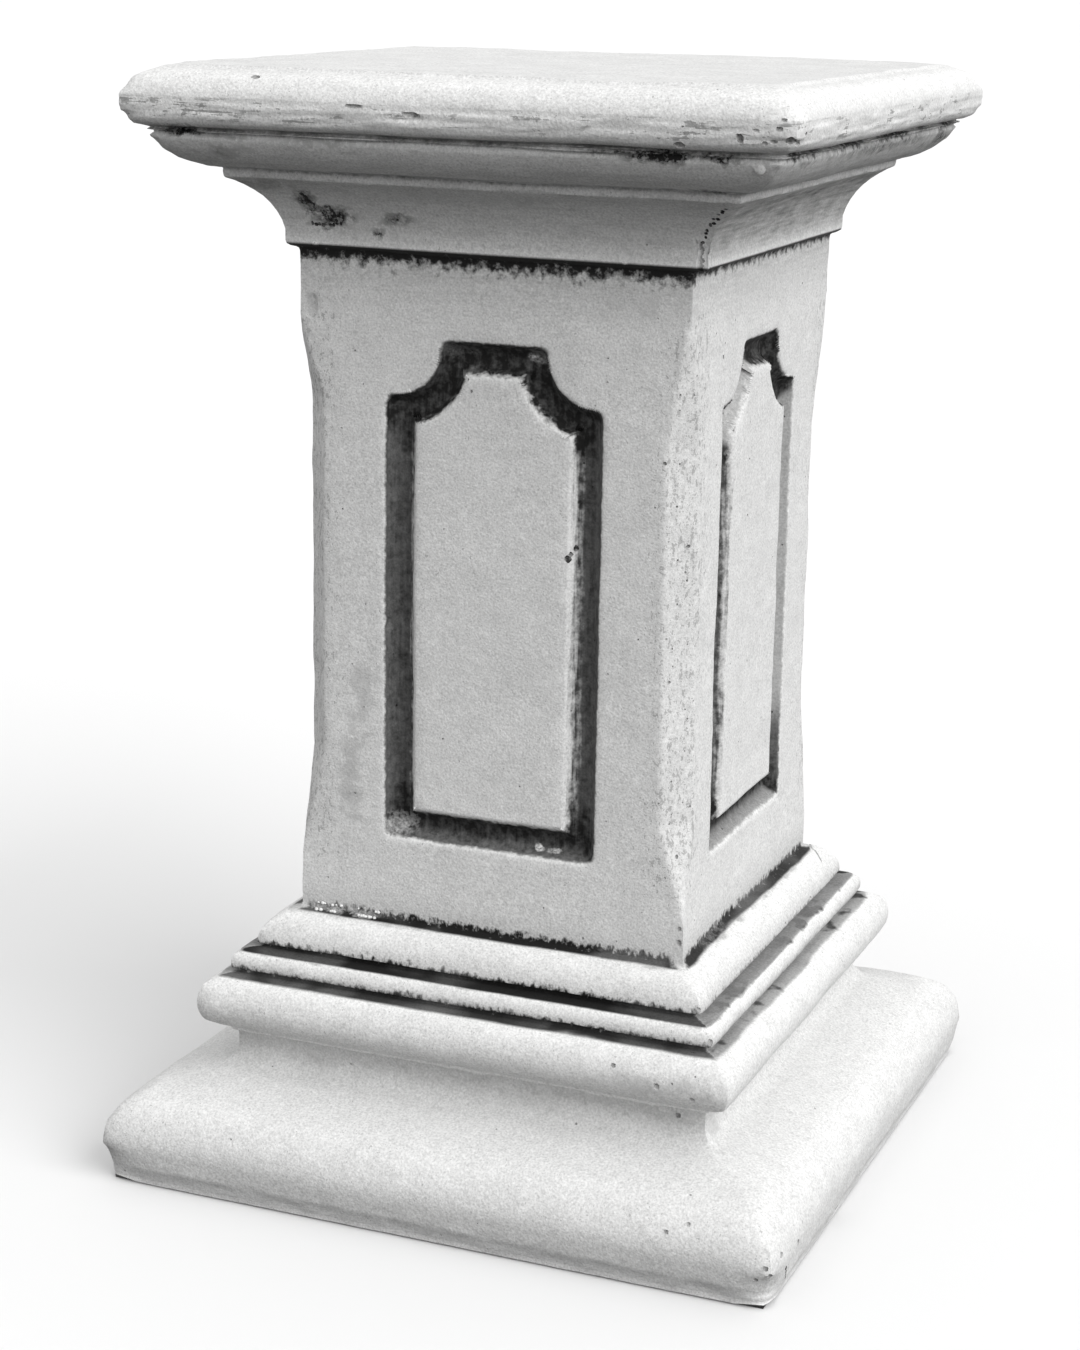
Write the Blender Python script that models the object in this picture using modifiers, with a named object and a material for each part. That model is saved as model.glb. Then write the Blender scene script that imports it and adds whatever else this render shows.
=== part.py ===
"""A square garden pedestal, cast in one piece: a moulded base, a panelled shaft and a moulded cap.

The pedestal stands on the ground with the middle of its underside at the origin, +Z up.
Every moulding is given by how far it stands out from the face of the shaft and how tall it is.
"""
import math

import bmesh
import bpy

# Shaft
SHAFT_WIDTH = 0.184
SHAFT_HEIGHT = 0.300

# Base, from the ground up. An OUT is a distance out from the shaft's face.
FOOT_OUT = 0.0666
FOOT_HEIGHT = 0.010
SLAB_OUT = 0.0698
SLAB_EDGE_HEIGHT = 0.007
ROLL_HEIGHT = 0.0255
ROLL_BULGE = 0.0055
SLOPE_OUT = 0.0515
SLOPE_HEIGHT = 0.0062
SCOTIA_OUT = 0.0304
SCOTIA_HEIGHT = 0.0113
SCOTIA_HOLLOW = 0.0030
SCOTIA_FILLET_OUT = 0.0228
SCOTIA_FILLET_HEIGHT = 0.0072
LOWER_TORUS_OUT = 0.0373
LOWER_TORUS_HEIGHT = 0.0258
BEAD_TOP_OUT = 0.0202
BEAD_OUT = 0.0244
BEAD_HEIGHT = 0.0092
BEAD_BULGE = 0.0020
UPPER_TORUS_OUT = 0.0162
UPPER_TORUS_HEIGHT = 0.0158
UPPER_TORUS_BULGE = 0.0042
QUIRK_DEPTH = 0.0024
QUIRK_HEIGHT = 0.0018

# Cap, from the shaft up
NECK_OUT = 0.0046
NECK_STEP_HEIGHT = 0.0015
NECK_HEIGHT = 0.0068
CAVETTO_HEIGHT = 0.0225
CAVETTO_HOLLOW = 0.0040
FILLET_OUT = 0.0245
FILLET_HEIGHT = 0.0042
LOWER_OVOLO_IN = 0.0285
LOWER_OVOLO_OUT = 0.0488
LOWER_OVOLO_HEIGHT = 0.0160
LOWER_OVOLO_BULGE = 0.0033
RIM_UNDER_OUT = 0.0498
RIM_UNDER_HEIGHT = 0.0070
RIM_UNDER_BULGE = 0.0020
RIM_OUT = 0.0564
RIM_HEIGHT = 0.0172
RIM_BULGE = 0.0054
TOP_OUT = 0.0418
TOP_STEP = 0.0014

# Chamfers on the arrises of the shaft, each run out to the sharp arris by a stop
CHAMFER_LEG = 0.012
CHAMFER_ABOVE_FOOT = 0.026
CHAMFER_LOWER_STOP = 0.047
CHAMFER_UPPER_STOP = 0.046
CHAMFER_BELOW_HEAD = 0.030

# Panel: one groove round a raised field, with both upper corners notched by an arc
PANEL_WIDTH = 0.101
PANEL_ABOVE_FOOT = 0.0385
PANEL_BELOW_HEAD = 0.0355
PANEL_TAB_WIDTH = 0.050
NOTCH_RADIUS = 0.0205
NOTCH_BELOW_TOP = 0.004
GROOVE_WIDTH = 0.0145
GROOVE_DEPTH = 0.0065
GROOVE_WALL_RUN = 0.0044

ARC_STEPS = 8
NOTCH_STEPS = 9
CUTTER_MARGIN = 0.003
WELD_DISTANCE = 0.00001
FACES = 4

STONE_COLOUR = (0.72, 0.71, 0.69, 1.0)
STONE_ROUGHNESS = 0.88


def clear_scene():
    """Removes the objects that the scene starts with."""
    for thing in list(bpy.data.objects):
        bpy.data.objects.remove(thing, do_unlink=True)


def new_collection(name):
    group = bpy.data.collections.new(name)
    bpy.context.scene.collection.children.link(group)
    return group


def stone_material():
    stone = bpy.data.materials.new("cast_stone")
    stone.use_nodes = True
    shader = stone.node_tree.nodes["Principled BSDF"]
    shader.inputs["Base Color"].default_value = STONE_COLOUR
    shader.inputs["Roughness"].default_value = STONE_ROUGHNESS
    shader.inputs["Metallic"].default_value = 0.0
    return stone


def arc(start, end, bulge, steps=ARC_STEPS):
    """Points after start up to end, on the arc that stands off the chord by bulge.

    The arc swells to the left of the way from start to end, and a negative bulge hollows it.
    """
    across, up = end[0] - start[0], end[1] - start[1]
    chord = math.hypot(across, up)
    half_angle = 2 * math.atan(2 * bulge / chord)
    radius = chord / (2 * math.sin(half_angle))
    centre_off = radius * math.cos(half_angle)
    left = (-up / chord, across / chord)
    centre = ((start[0] + end[0]) / 2 - left[0] * centre_off, (start[1] + end[1]) / 2 - left[1] * centre_off)
    first = math.atan2(start[1] - centre[1], start[0] - centre[0])
    points = []
    for step in range(1, steps):
        angle = first - 2 * half_angle * step / steps
        points.append((centre[0] + abs(radius) * math.cos(angle), centre[1] + abs(radius) * math.sin(angle)))
    return points + [end]


def half_round(top, height, out, steps=2 * ARC_STEPS):
    """Points after top down a half-round moulding of this height, which stands out to out at its middle."""
    middle = top[1] - height / 2
    points = []
    for step in range(1, steps + 1):
        angle = math.pi / 2 - math.pi * step / steps
        points.append((top[0] + (out - top[0]) * math.cos(angle), middle + height / 2 * math.sin(angle)))
    return points


def quirk(top, bottom_out):
    """A small sunk groove under one moulding, where the wash of dark paint sits."""
    inner = min(top[0], bottom_out) - QUIRK_DEPTH
    bottom = top[1] - QUIRK_HEIGHT
    return [(inner, top[1] - QUIRK_HEIGHT / 3), (inner, bottom), (bottom_out, bottom)]


def base_profile():
    """(out, height) from the shaft's foot down to the ground."""
    foot = FOOT_HEIGHT + SLAB_EDGE_HEIGHT
    roll_top = foot + ROLL_HEIGHT
    slope_top = roll_top + SLOPE_HEIGHT
    scotia_top = slope_top + SCOTIA_HEIGHT
    fillet_top = scotia_top + SCOTIA_FILLET_HEIGHT
    torus_top = fillet_top + LOWER_TORUS_HEIGHT
    bead_bottom = torus_top + QUIRK_HEIGHT
    bead_top = bead_bottom + BEAD_HEIGHT
    upper_bottom = bead_top + QUIRK_HEIGHT
    shaft_foot = upper_bottom + UPPER_TORUS_HEIGHT
    profile = [(0.0, shaft_foot)]
    profile += arc(profile[-1], (UPPER_TORUS_OUT, upper_bottom), UPPER_TORUS_BULGE)
    profile += quirk(profile[-1], BEAD_TOP_OUT)
    profile += arc(profile[-1], (BEAD_OUT, bead_bottom), BEAD_BULGE)
    profile += quirk(profile[-1], BEAD_OUT)
    profile += half_round(profile[-1], LOWER_TORUS_HEIGHT, LOWER_TORUS_OUT)
    profile += [(SCOTIA_FILLET_OUT, fillet_top), (SCOTIA_FILLET_OUT, scotia_top)]
    profile += arc(profile[-1], (SCOTIA_OUT, slope_top), -SCOTIA_HOLLOW)
    profile += [(SLOPE_OUT, roll_top)]
    profile += arc(profile[-1], (SLAB_OUT, foot), ROLL_BULGE)
    profile += [(SLAB_OUT, FOOT_HEIGHT), (FOOT_OUT, 0.0)]
    return profile


def cap_profile(shaft_head):
    """(out, height) from the flat top down to the shaft's head."""
    neck_bottom = shaft_head + NECK_STEP_HEIGHT
    neck_top = neck_bottom + NECK_HEIGHT
    fillet_bottom = neck_top + CAVETTO_HEIGHT
    ovolo_bottom = fillet_bottom + FILLET_HEIGHT
    under_bottom = ovolo_bottom + LOWER_OVOLO_HEIGHT
    rim_bottom = under_bottom + QUIRK_HEIGHT + RIM_UNDER_HEIGHT
    rim_top = rim_bottom + RIM_HEIGHT
    profile = [(TOP_OUT, rim_top + TOP_STEP), (TOP_OUT + TOP_STEP, rim_top)]
    profile += arc(profile[-1], (RIM_OUT, rim_bottom), RIM_BULGE)
    profile += arc(profile[-1], (RIM_UNDER_OUT, rim_bottom - RIM_UNDER_HEIGHT), RIM_UNDER_BULGE)
    profile += quirk(profile[-1], LOWER_OVOLO_OUT)
    profile += arc(profile[-1], (LOWER_OVOLO_IN, ovolo_bottom), LOWER_OVOLO_BULGE)
    profile += [(FILLET_OUT, ovolo_bottom), (FILLET_OUT, fillet_bottom)]
    profile += arc(profile[-1], (NECK_OUT, neck_top), -CAVETTO_HOLLOW)
    profile += [(NECK_OUT, neck_bottom), (0.0, shaft_head)]
    return profile


def shaft_foot_height():
    return base_profile()[0][1]


def build_body(group, stone):
    """The mouldings and the shaft: the profile stands on one mitre line and makes four quarter turns."""
    shaft_foot = shaft_foot_height()
    profile = cap_profile(shaft_foot + SHAFT_HEIGHT) + base_profile()
    half_widths = [(SHAFT_WIDTH / 2 + out, height) for out, height in profile]
    outline = [(0.0, profile[0][1])] + half_widths + [(0.0, 0.0)]
    mesh = bpy.data.meshes.new("pedestal")
    lines = bmesh.new()
    ends = [lines.verts.new((half_width, half_width, height)) for half_width, height in outline]
    for upper, lower in zip(ends, ends[1:]):
        lines.edges.new((upper, lower))
    lines.to_mesh(mesh)
    lines.free()
    mesh.materials.append(stone)
    body = bpy.data.objects.new("pedestal", mesh)
    group.objects.link(body)
    turn = body.modifiers.new("square_turn", "SCREW")
    turn.axis = "Z"
    turn.angle = math.tau
    turn.steps = FACES
    turn.render_steps = FACES
    turn.use_merge_vertices = True
    turn.merge_threshold = WELD_DISTANCE
    turn.use_smooth_shade = False
    return body


def build_chamfer_cutter(group, index):
    """A bar that planes one arris of the shaft. Its ends slope out to the arris and make the stops."""
    foot = shaft_foot_height()
    arris = SHAFT_WIDTH / 2 * math.sqrt(2)
    depth = CHAMFER_LEG / math.sqrt(2)
    inner, outer = arris - depth, arris + CUTTER_MARGIN
    low = foot + CHAMFER_ABOVE_FOOT
    high = foot + SHAFT_HEIGHT - CHAMFER_BELOW_HEAD
    cube = bmesh.new()
    bmesh.ops.create_cube(cube, size=2.0)
    for corner in cube.verts:
        out = outer if corner.co.x > 0 else inner
        beyond = (out - inner) / depth - 1
        lower_end = low - CHAMFER_LOWER_STOP * beyond
        upper_end = high + CHAMFER_UPPER_STOP * beyond
        corner.co.z = upper_end if corner.co.z > 0 else lower_end
        corner.co.y *= 2 * CHAMFER_LEG
        corner.co.x = out
    mesh = bpy.data.meshes.new("chamfer_cutter")
    cube.to_mesh(mesh)
    cube.free()
    cutter = bpy.data.objects.new(f"chamfer_cutter_{index}", mesh)
    cutter.rotation_euler = (0.0, 0.0, math.pi / FACES + index * math.tau / FACES)
    return hide_cutter(cutter, group)


def hide_cutter(cutter, group):
    cutter.hide_render = True
    cutter.display_type = "WIRE"
    group.objects.link(cutter)
    return cutter


def panel_outline(inset):
    """The panel's outline, in the plane of the face, drawn in all round by inset.

    Each notch keeps its centre and its radius grows by the inset, so a groove between two of these
    outlines is as wide round a notch as along a side.
    """
    foot = shaft_foot_height()
    side = PANEL_WIDTH / 2 - inset
    bottom = foot + PANEL_ABOVE_FOOT + inset
    panel_top = foot + SHAFT_HEIGHT - PANEL_BELOW_HEAD
    top = panel_top - inset
    radius = NOTCH_RADIUS + inset
    centre_across = PANEL_TAB_WIDTH / 2 + NOTCH_RADIUS
    centre_up = panel_top - NOTCH_BELOW_TOP
    first = -math.acos(max(0.0, centre_across - side) / radius)
    last = math.asin(min(0.0, top - centre_up) / radius)
    left = [(-side, bottom), (-side, centre_up + radius * math.sin(first))]
    for step in range(NOTCH_STEPS + 1):
        angle = first + (last - first) * step / NOTCH_STEPS
        left.append((radius * math.cos(angle) - centre_across, centre_up + radius * math.sin(angle)))
    left.append((left[-1][0], top))
    return left + [(-across, up) for across, up in reversed(left)]


def groove_section():
    """(inset, height off the face) round the groove's section: a floor and two sloping walls."""
    slope = GROOVE_WALL_RUN / GROOVE_DEPTH
    return [
        (-slope * CUTTER_MARGIN, CUTTER_MARGIN),
        (GROOVE_WALL_RUN, -GROOVE_DEPTH),
        (GROOVE_WIDTH - GROOVE_WALL_RUN, -GROOVE_DEPTH),
        (GROOVE_WIDTH + slope * CUTTER_MARGIN, CUTTER_MARGIN),
    ]


def build_groove_cutters(group):
    """A ring lofted through the panel's outlines, once for each face of the shaft."""
    ring = bmesh.new()
    loops = []
    for inset, off_face in groove_section():
        loops.append([ring.verts.new((x, -SHAFT_WIDTH / 2 - off_face, z)) for x, z in panel_outline(inset)])
    for first, second in zip(loops, loops[1:] + loops[:1]):
        for place in range(len(first)):
            following = (place + 1) % len(first)
            ring.faces.new((first[place], first[following], second[following], second[place]))
    bmesh.ops.remove_doubles(ring, verts=ring.verts, dist=WELD_DISTANCE)
    bmesh.ops.recalc_face_normals(ring, faces=ring.faces)
    mesh = bpy.data.meshes.new("groove_cutter")
    ring.to_mesh(mesh)
    ring.free()
    cutters = []
    for index in range(FACES):
        cutter = bpy.data.objects.new(f"groove_cutter_{index}", mesh)
        cutter.rotation_euler = (0.0, 0.0, index * math.tau / FACES)
        cutters.append(hide_cutter(cutter, group))
    return cutters


def cut(body, cutters):
    """Takes each cutter's shape out of the body."""
    for cutter in cutters:
        boolean = body.modifiers.new(cutter.name, "BOOLEAN")
        boolean.operation = "DIFFERENCE"
        boolean.solver = "EXACT"
        boolean.object = cutter


def main():
    clear_scene()
    stone = stone_material()
    parts = new_collection("garden_pedestal")
    tools = new_collection("cutters")
    pedestal = build_body(parts, stone)
    cut(pedestal, [build_chamfer_cutter(tools, index) for index in range(FACES)])
    cut(pedestal, build_groove_cutters(tools))


main()
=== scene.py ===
# %% [markdown]
# # A cast-stone garden pedestal
#
# This lesson dresses a plain solid of a garden pedestal as the real one looks: whitewashed cast
# stone, with a dark antique wash left in the grooves and in the joints of the mouldings.
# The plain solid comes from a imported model, which fixes every size. Nothing here may leave its box.

# %% Load the frame
import math
import random

import bmesh
import bpy
import numpy as np
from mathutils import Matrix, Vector


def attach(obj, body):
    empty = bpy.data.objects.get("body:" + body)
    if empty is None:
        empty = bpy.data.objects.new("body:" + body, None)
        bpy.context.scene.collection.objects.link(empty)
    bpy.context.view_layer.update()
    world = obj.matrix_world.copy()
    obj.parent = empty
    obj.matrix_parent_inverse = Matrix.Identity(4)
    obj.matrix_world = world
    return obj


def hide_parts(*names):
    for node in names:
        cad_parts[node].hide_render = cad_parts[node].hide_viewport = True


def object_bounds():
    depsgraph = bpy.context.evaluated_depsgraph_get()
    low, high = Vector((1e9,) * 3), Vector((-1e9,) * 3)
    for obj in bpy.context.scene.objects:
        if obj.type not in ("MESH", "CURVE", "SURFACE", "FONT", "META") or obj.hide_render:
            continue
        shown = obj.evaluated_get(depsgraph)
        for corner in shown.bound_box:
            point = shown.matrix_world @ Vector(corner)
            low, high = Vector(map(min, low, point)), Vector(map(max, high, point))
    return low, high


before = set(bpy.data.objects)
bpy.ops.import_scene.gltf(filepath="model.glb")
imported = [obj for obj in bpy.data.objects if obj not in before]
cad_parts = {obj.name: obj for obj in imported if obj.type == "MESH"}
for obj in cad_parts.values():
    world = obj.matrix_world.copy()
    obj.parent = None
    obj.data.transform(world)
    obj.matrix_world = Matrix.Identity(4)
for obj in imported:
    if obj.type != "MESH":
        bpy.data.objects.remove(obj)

solid_low, solid_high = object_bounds()
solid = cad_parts["pedestal"]

# %% [markdown]
# ## The camera
#
# The photograph was taken from a little above the cap, with one corner turned towards the lens.
# Its place was found by fitting the straight edges of the stone in the picture. The camera's three
# axes are worked out from two angles and a small roll, because the photograph leans by one degree.

# %% Camera
CAMERA_PLACE = Vector((0.4607, -1.1728, 0.5520))
CAMERA_AZIMUTH = math.radians(22.00)
CAMERA_ELEVATION = math.radians(14.80)
CAMERA_ROLL = math.radians(-1.04)
CAMERA_LENS = 74.15


def camera_axes(azimuth, elevation, roll):
    """The camera's right, up and backward directions in the world."""
    right = Vector((math.cos(azimuth), math.sin(azimuth), 0.0))
    flat = math.cos(elevation)
    back = Vector((math.sin(azimuth) * flat, -math.cos(azimuth) * flat, math.sin(elevation)))
    down = back.cross(right) * -1.0
    rolled_right = right * math.cos(roll) + down * math.sin(roll)
    rolled_down = down * math.cos(roll) - right * math.sin(roll)
    return rolled_right, -rolled_down, back


bpy.ops.object.camera_add(location=CAMERA_PLACE)
camera = bpy.context.object
camera.name = "photo_camera"
axes = camera_axes(CAMERA_AZIMUTH, CAMERA_ELEVATION, CAMERA_ROLL)
turn = camera.matrix_world.copy()
for column, axis in enumerate(axes):
    for row in range(3):
        turn[row][column] = axis[row]
for row in range(3):
    turn[row][3] = CAMERA_PLACE[row]
camera.matrix_world = turn
camera.data.lens = CAMERA_LENS
camera.data.sensor_fit = "AUTO"
camera.data.sensor_width = 36.0
camera.data.clip_end = 200.0
bpy.context.scene.camera = camera
print("camera looks along", [round(-value, 3) for value in axes[2]])

# %% [markdown]
# ## Small tools
#
# Most operators in Blender act on whatever is selected. These helpers make that safe in a script:
# they deselect all, make one piece active, and pick faces or edges by where they are.

# %% Helpers for picking and for modifiers


def only(piece):
    """Makes one piece the only one selected, and active."""
    if bpy.context.mode != "OBJECT":
        bpy.ops.object.mode_set(mode="OBJECT")
    bpy.ops.object.select_all(action="DESELECT")
    piece.select_set(True)
    bpy.context.view_layer.objects.active = piece
    return piece


def pick(piece, kind, wanted):
    """In edit mode, selects only those faces, edges or vertices for which wanted holds."""
    bpy.ops.mesh.select_all(action="DESELECT")
    bpy.ops.mesh.select_mode(type={"faces": "FACE", "edges": "EDGE", "verts": "VERT"}[kind])
    shape = bmesh.from_edit_mesh(piece.data)
    shape.normal_update()
    for element in getattr(shape, kind):
        if wanted(element):
            element.select_set(True)
    bmesh.update_edit_mesh(piece.data)


def finish_modifier(piece, kind, **settings):
    """Adds a modifier with these settings and applies it."""
    only(piece)
    modifier = piece.modifiers.new(kind.lower(), kind)
    for name, value in settings.items():
        setattr(modifier, name, value)
    bpy.ops.object.modifier_apply(modifier=modifier.name)


def cut_away(piece, cutter):
    """Takes the cutter's shape out of the piece, and removes the cutter."""
    finish_modifier(piece, "BOOLEAN", object=cutter, operation="DIFFERENCE", solver="EXACT")
    bpy.data.objects.remove(cutter, do_unlink=True)


def points_of(piece):
    """The piece's vertices as rows of x, y and z."""
    flat = np.empty(len(piece.data.vertices) * 3)
    piece.data.vertices.foreach_get("co", flat)
    return flat.reshape(-1, 3)


# %% [markdown]
# ## The mouldings
#
# A caster runs a template along the mould, so each side of the pedestal has the same profile, and
# the four sides meet in mitres. The same thing by hand is a square that is extruded upwards ring
# by ring: up by one step, then scaled in or out. The steps are read from the mitre line of the
# plain solid, so the dressed stone stands exactly where the solid does.

# %% Read the profile from the solid


def mitre_profile(node):
    """(half width, height) up the mitre line of a square solid, from the ground to the top."""
    rows = np.round(points_of(node), 6)
    on_mitre = rows[np.abs(rows[:, 0] + rows[:, 1]) < 2e-6]
    found = sorted({(row[2], row[0]) for row in on_mitre if row[0] > 0.01})
    profile = []
    while found:
        height = found[0][0]
        level = [entry for entry in found if entry[0] - height < 2e-6]
        found = found[len(level):]
        if profile:
            level.sort(key=lambda entry: abs(entry[1] - profile[-1][0]))
        profile += [(half_width, level_height) for level_height, half_width in level]
    return profile


def with_lip(steps, low, high, out):
    """Adds a thin lip to the upright fillet below the lower torus, where the mould parted."""
    below = [step for step in steps if step[1] < low]
    above = [step for step in steps if step[1] > high]
    return below + [(below[-1][0], low), (out, low + 0.0004), (out + 0.0001, high - 0.0002)] + above


SHARP_ANGLE = math.radians(27)
NECK_EDGE = 0.4231
JOINT_LEVELS = (0.0939, 0.1049, 0.4735)
LIP_LOW, LIP_HIGH, LIP_OUT = 0.0644, 0.0672, 0.1168


def rounding_at(height):
    """How far from a corner of the profile its rounding starts."""
    if abs(height - NECK_EDGE) < 0.0003:
        return 0.0020
    if any(abs(height - joint) < 0.0013 for joint in JOINT_LEVELS):
        return 0.0005
    return 0.0010


def rounded(steps):
    """The profile with each sharp corner cut by a short arc, because nothing cast has a knife edge."""
    foot = steps[0][0]
    soft = [(foot - 0.0030, 0.0), (foot - 0.0008, 0.0008), (foot, 0.0030)]
    for before, corner, after in zip(steps, steps[1:], steps[2:]):
        middle = Vector(corner)
        back, on = Vector(before) - middle, Vector(after) - middle
        if math.pi - back.angle(on) < SHARP_ANGLE:
            soft.append(corner)
            continue
        start = middle + back.normalized() * min(rounding_at(corner[1]), 0.4 * back.length)
        end = middle + on.normalized() * min(rounding_at(corner[1]), 0.4 * on.length)
        soft += [tuple(start), tuple((start + 2 * middle + end) / 4), tuple(end)]
    return soft + [steps[-1]]


profile = rounded(with_lip(mitre_profile(solid), LIP_LOW, LIP_HIGH, LIP_OUT))
TOP_HEIGHT = profile[-1][1]
print(len(profile), "steps in the profile, top at", round(1000 * TOP_HEIGHT, 1), "mm")

# %% Extrude the square ring by ring


def extrude_square(name, steps):
    """A square block that follows the steps, from the first one up."""
    bpy.ops.object.select_all(action="DESELECT")
    bpy.ops.mesh.primitive_plane_add(size=2 * steps[0][0], location=(0, 0, steps[0][1]))
    block = bpy.context.object
    block.name = name
    bpy.ops.object.transform_apply(location=True, rotation=True, scale=True)
    bpy.ops.object.mode_set(mode="EDIT")
    bpy.ops.mesh.select_all(action="SELECT")
    for (half_before, height_before), (half_width, height) in zip(steps, steps[1:]):
        rise = height - height_before
        bpy.ops.mesh.extrude_region_move(TRANSFORM_OT_translate={"value": (0, 0, rise)})
        ratio = half_width / half_before
        bpy.ops.transform.resize(value=(ratio, ratio, 1), center_override=(0, 0, height))
    bpy.ops.mesh.select_all(action="SELECT")
    bpy.ops.mesh.normals_make_consistent(inside=False)
    bpy.ops.object.mode_set(mode="OBJECT")
    return block


stone = extrude_square("cast_stone_pedestal", profile)
print("block:", len(stone.data.polygons), "faces")

# %% [markdown]
# ## Chamfers and panels
#
# The arrises of the shaft are planed off, and each chamfer runs out to the sharp corner before it
# reaches the mouldings. Each side has a sunk groove round a raised field, with both upper corners
# notched by an arc. Both are cuts, so they are made with cutters and Booleans. A chamfer's cutter is
# a cube, and the groove's is an outer block less an inner one, each a disc pulled to the outline.

# %% Chamfer cutters
SHAFT_HALF = 0.092
SHAFT_FOOT = 0.1216
SHAFT_HEAD = 0.4216


def chamfer_cutter(side_x, side_y, leg, low, low_full, high_full, high):
    """A bar over one arris. Its inner face is short and its outer face long, which slopes its ends."""
    arris = SHAFT_HALF * math.sqrt(2)
    depth = leg / math.sqrt(2)
    reach = 0.004
    bpy.ops.object.select_all(action="DESELECT")
    bpy.ops.mesh.primitive_cube_add(size=2)
    bar = bpy.context.object
    bpy.ops.object.mode_set(mode="EDIT")
    shape = bmesh.from_edit_mesh(bar.data)
    for corner in shape.verts:
        outside = corner.co.x > 0
        out = arris + reach if outside else arris - depth
        beyond = reach / depth
        if corner.co.z > 0:
            rise = high + (high - high_full) * beyond if outside else high_full
        else:
            rise = low - (low_full - low) * beyond if outside else low_full
        corner.co = (out, corner.co.y * 1.6 * leg, rise)
    bmesh.update_edit_mesh(bar.data)
    bpy.ops.object.mode_set(mode="OBJECT")
    bar.rotation_euler = (0, 0, math.atan2(side_y, side_x))
    bpy.ops.object.transform_apply(location=True, rotation=True, scale=True)
    return bar


CHAMFERS = [
    (1, -1, 0.0115, 0.140, 0.182, 0.347, 0.407),
    (-1, -1, 0.0112, 0.150, 0.196, 0.358, 0.391),
    (1, 1, 0.0135, 0.140, 0.199, 0.335, 0.391),
    (-1, 1, 0.0120, 0.148, 0.195, 0.345, 0.392),
]
for side_x, side_y, leg, low, low_full, high_full, high in CHAMFERS:
    cut_away(stone, chamfer_cutter(side_x, side_y, leg, low, low_full, high_full, high))
print("with chamfers:", len(stone.data.polygons), "faces")

# %% Groove cutter
PANEL_HALF = 0.0505
PANEL_LOW, PANEL_HIGH = 0.1601, 0.3861
NOTCH_ACROSS, NOTCH_UP, NOTCH_RADIUS = 0.0455, 0.3821, 0.0205
GROOVE_WIDTH = 0.0145
GROOVE_DEPTH = 0.0065
WALL_RUN = 0.0044
SLOPE = WALL_RUN / GROOVE_DEPTH
FRONT, BACK = -SHAFT_HALF - 0.004, -SHAFT_HALF + GROOVE_DEPTH
SPACING = 0.0008


def panel_outline(inset, rounding):
    """Points (across, up) round the notched panel, drawn in by inset, with its corners rounded.

    Every inset gives the same number of points, and so two outlines can be joined point by point.
    """
    half, low, high = PANEL_HALF - inset, PANEL_LOW + inset, PANEL_HIGH - inset
    radius = NOTCH_RADIUS + inset
    first = -math.pi / 2 + math.asin((half - NOTCH_ACROSS) / radius)
    last = -math.pi - math.asin((high - NOTCH_UP) / radius)
    turns = np.linspace(first, last, round(0.031 / SPACING))
    arc = [(NOTCH_ACROSS + radius * math.cos(turn), NOTCH_UP + radius * math.sin(turn)) for turn in turns]
    foot = [(across, low) for across in np.linspace(-half, half, round(2 * PANEL_HALF / SPACING))]
    side = [(half, up) for up in np.linspace(low, arc[0][1], round(0.202 / SPACING))[1:-1]]
    head = [(across, high) for across in np.linspace(arc[-1][0], -arc[-1][0], round(0.050 / SPACING))[1:-1]]
    mirrored = [(-across, up) for across, up in reversed(side + arc)]
    outline = np.array(foot + side + arc + head + mirrored)
    reach = round(rounding / SPACING)
    rolled = [np.roll(outline, step, axis=0) for step in range(-reach, reach + 1)]
    return [tuple(point) for point in np.mean(rolled, axis=0)]


def notched_block(inset, slope, front, back, rounding):
    """A block in front of the face at -Y: a disc pulled to the outline, and extruded to the back.

    Its outline lies inside the panel's by inset at the face, and draws in by slope as it goes back.
    """
    outlines = [panel_outline(inset + slope * (depth + SHAFT_HALF), rounding) for depth in (front, back)]
    bpy.ops.object.select_all(action="DESELECT")
    bpy.ops.mesh.primitive_circle_add(vertices=len(outlines[0]), fill_type="NGON", radius=0.1)
    block = bpy.context.object
    bpy.ops.object.mode_set(mode="EDIT")
    shape = bmesh.from_edit_mesh(block.data)
    shape.verts.ensure_lookup_table()
    for point, (across, up) in zip(shape.verts, outlines[0]):
        point.co = (across, front, up)
    bmesh.update_edit_mesh(block.data)
    bpy.ops.mesh.select_all(action="SELECT")
    bpy.ops.mesh.extrude_region_move(TRANSFORM_OT_translate={"value": (0, back - front, 0)})
    shape = bmesh.from_edit_mesh(block.data)
    for point in shape.verts:
        if abs(point.co.y - back) < 1e-6:
            gaps = np.abs(np.array(outlines[0]) - (point.co.x, point.co.z)).sum(axis=1)
            across, up = outlines[1][int(np.argmin(gaps))]
            point.co = (across, back, up)
    bmesh.update_edit_mesh(block.data)
    bpy.ops.mesh.select_all(action="SELECT")
    bpy.ops.mesh.normals_make_consistent(inside=False)
    bpy.ops.mesh.dissolve_limited(angle_limit=math.radians(1.0))
    bpy.ops.object.mode_set(mode="OBJECT")
    return block


def groove_cutter():
    """The ring between an outer block that narrows towards its back and an inner one that widens."""
    ring = notched_block(0.0, SLOPE, FRONT, BACK, 0.0044)
    core = notched_block(GROOVE_WIDTH, -SLOPE, FRONT - 0.002, BACK + 0.002, 0.0008)
    cut_away(ring, core)
    return ring


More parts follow.
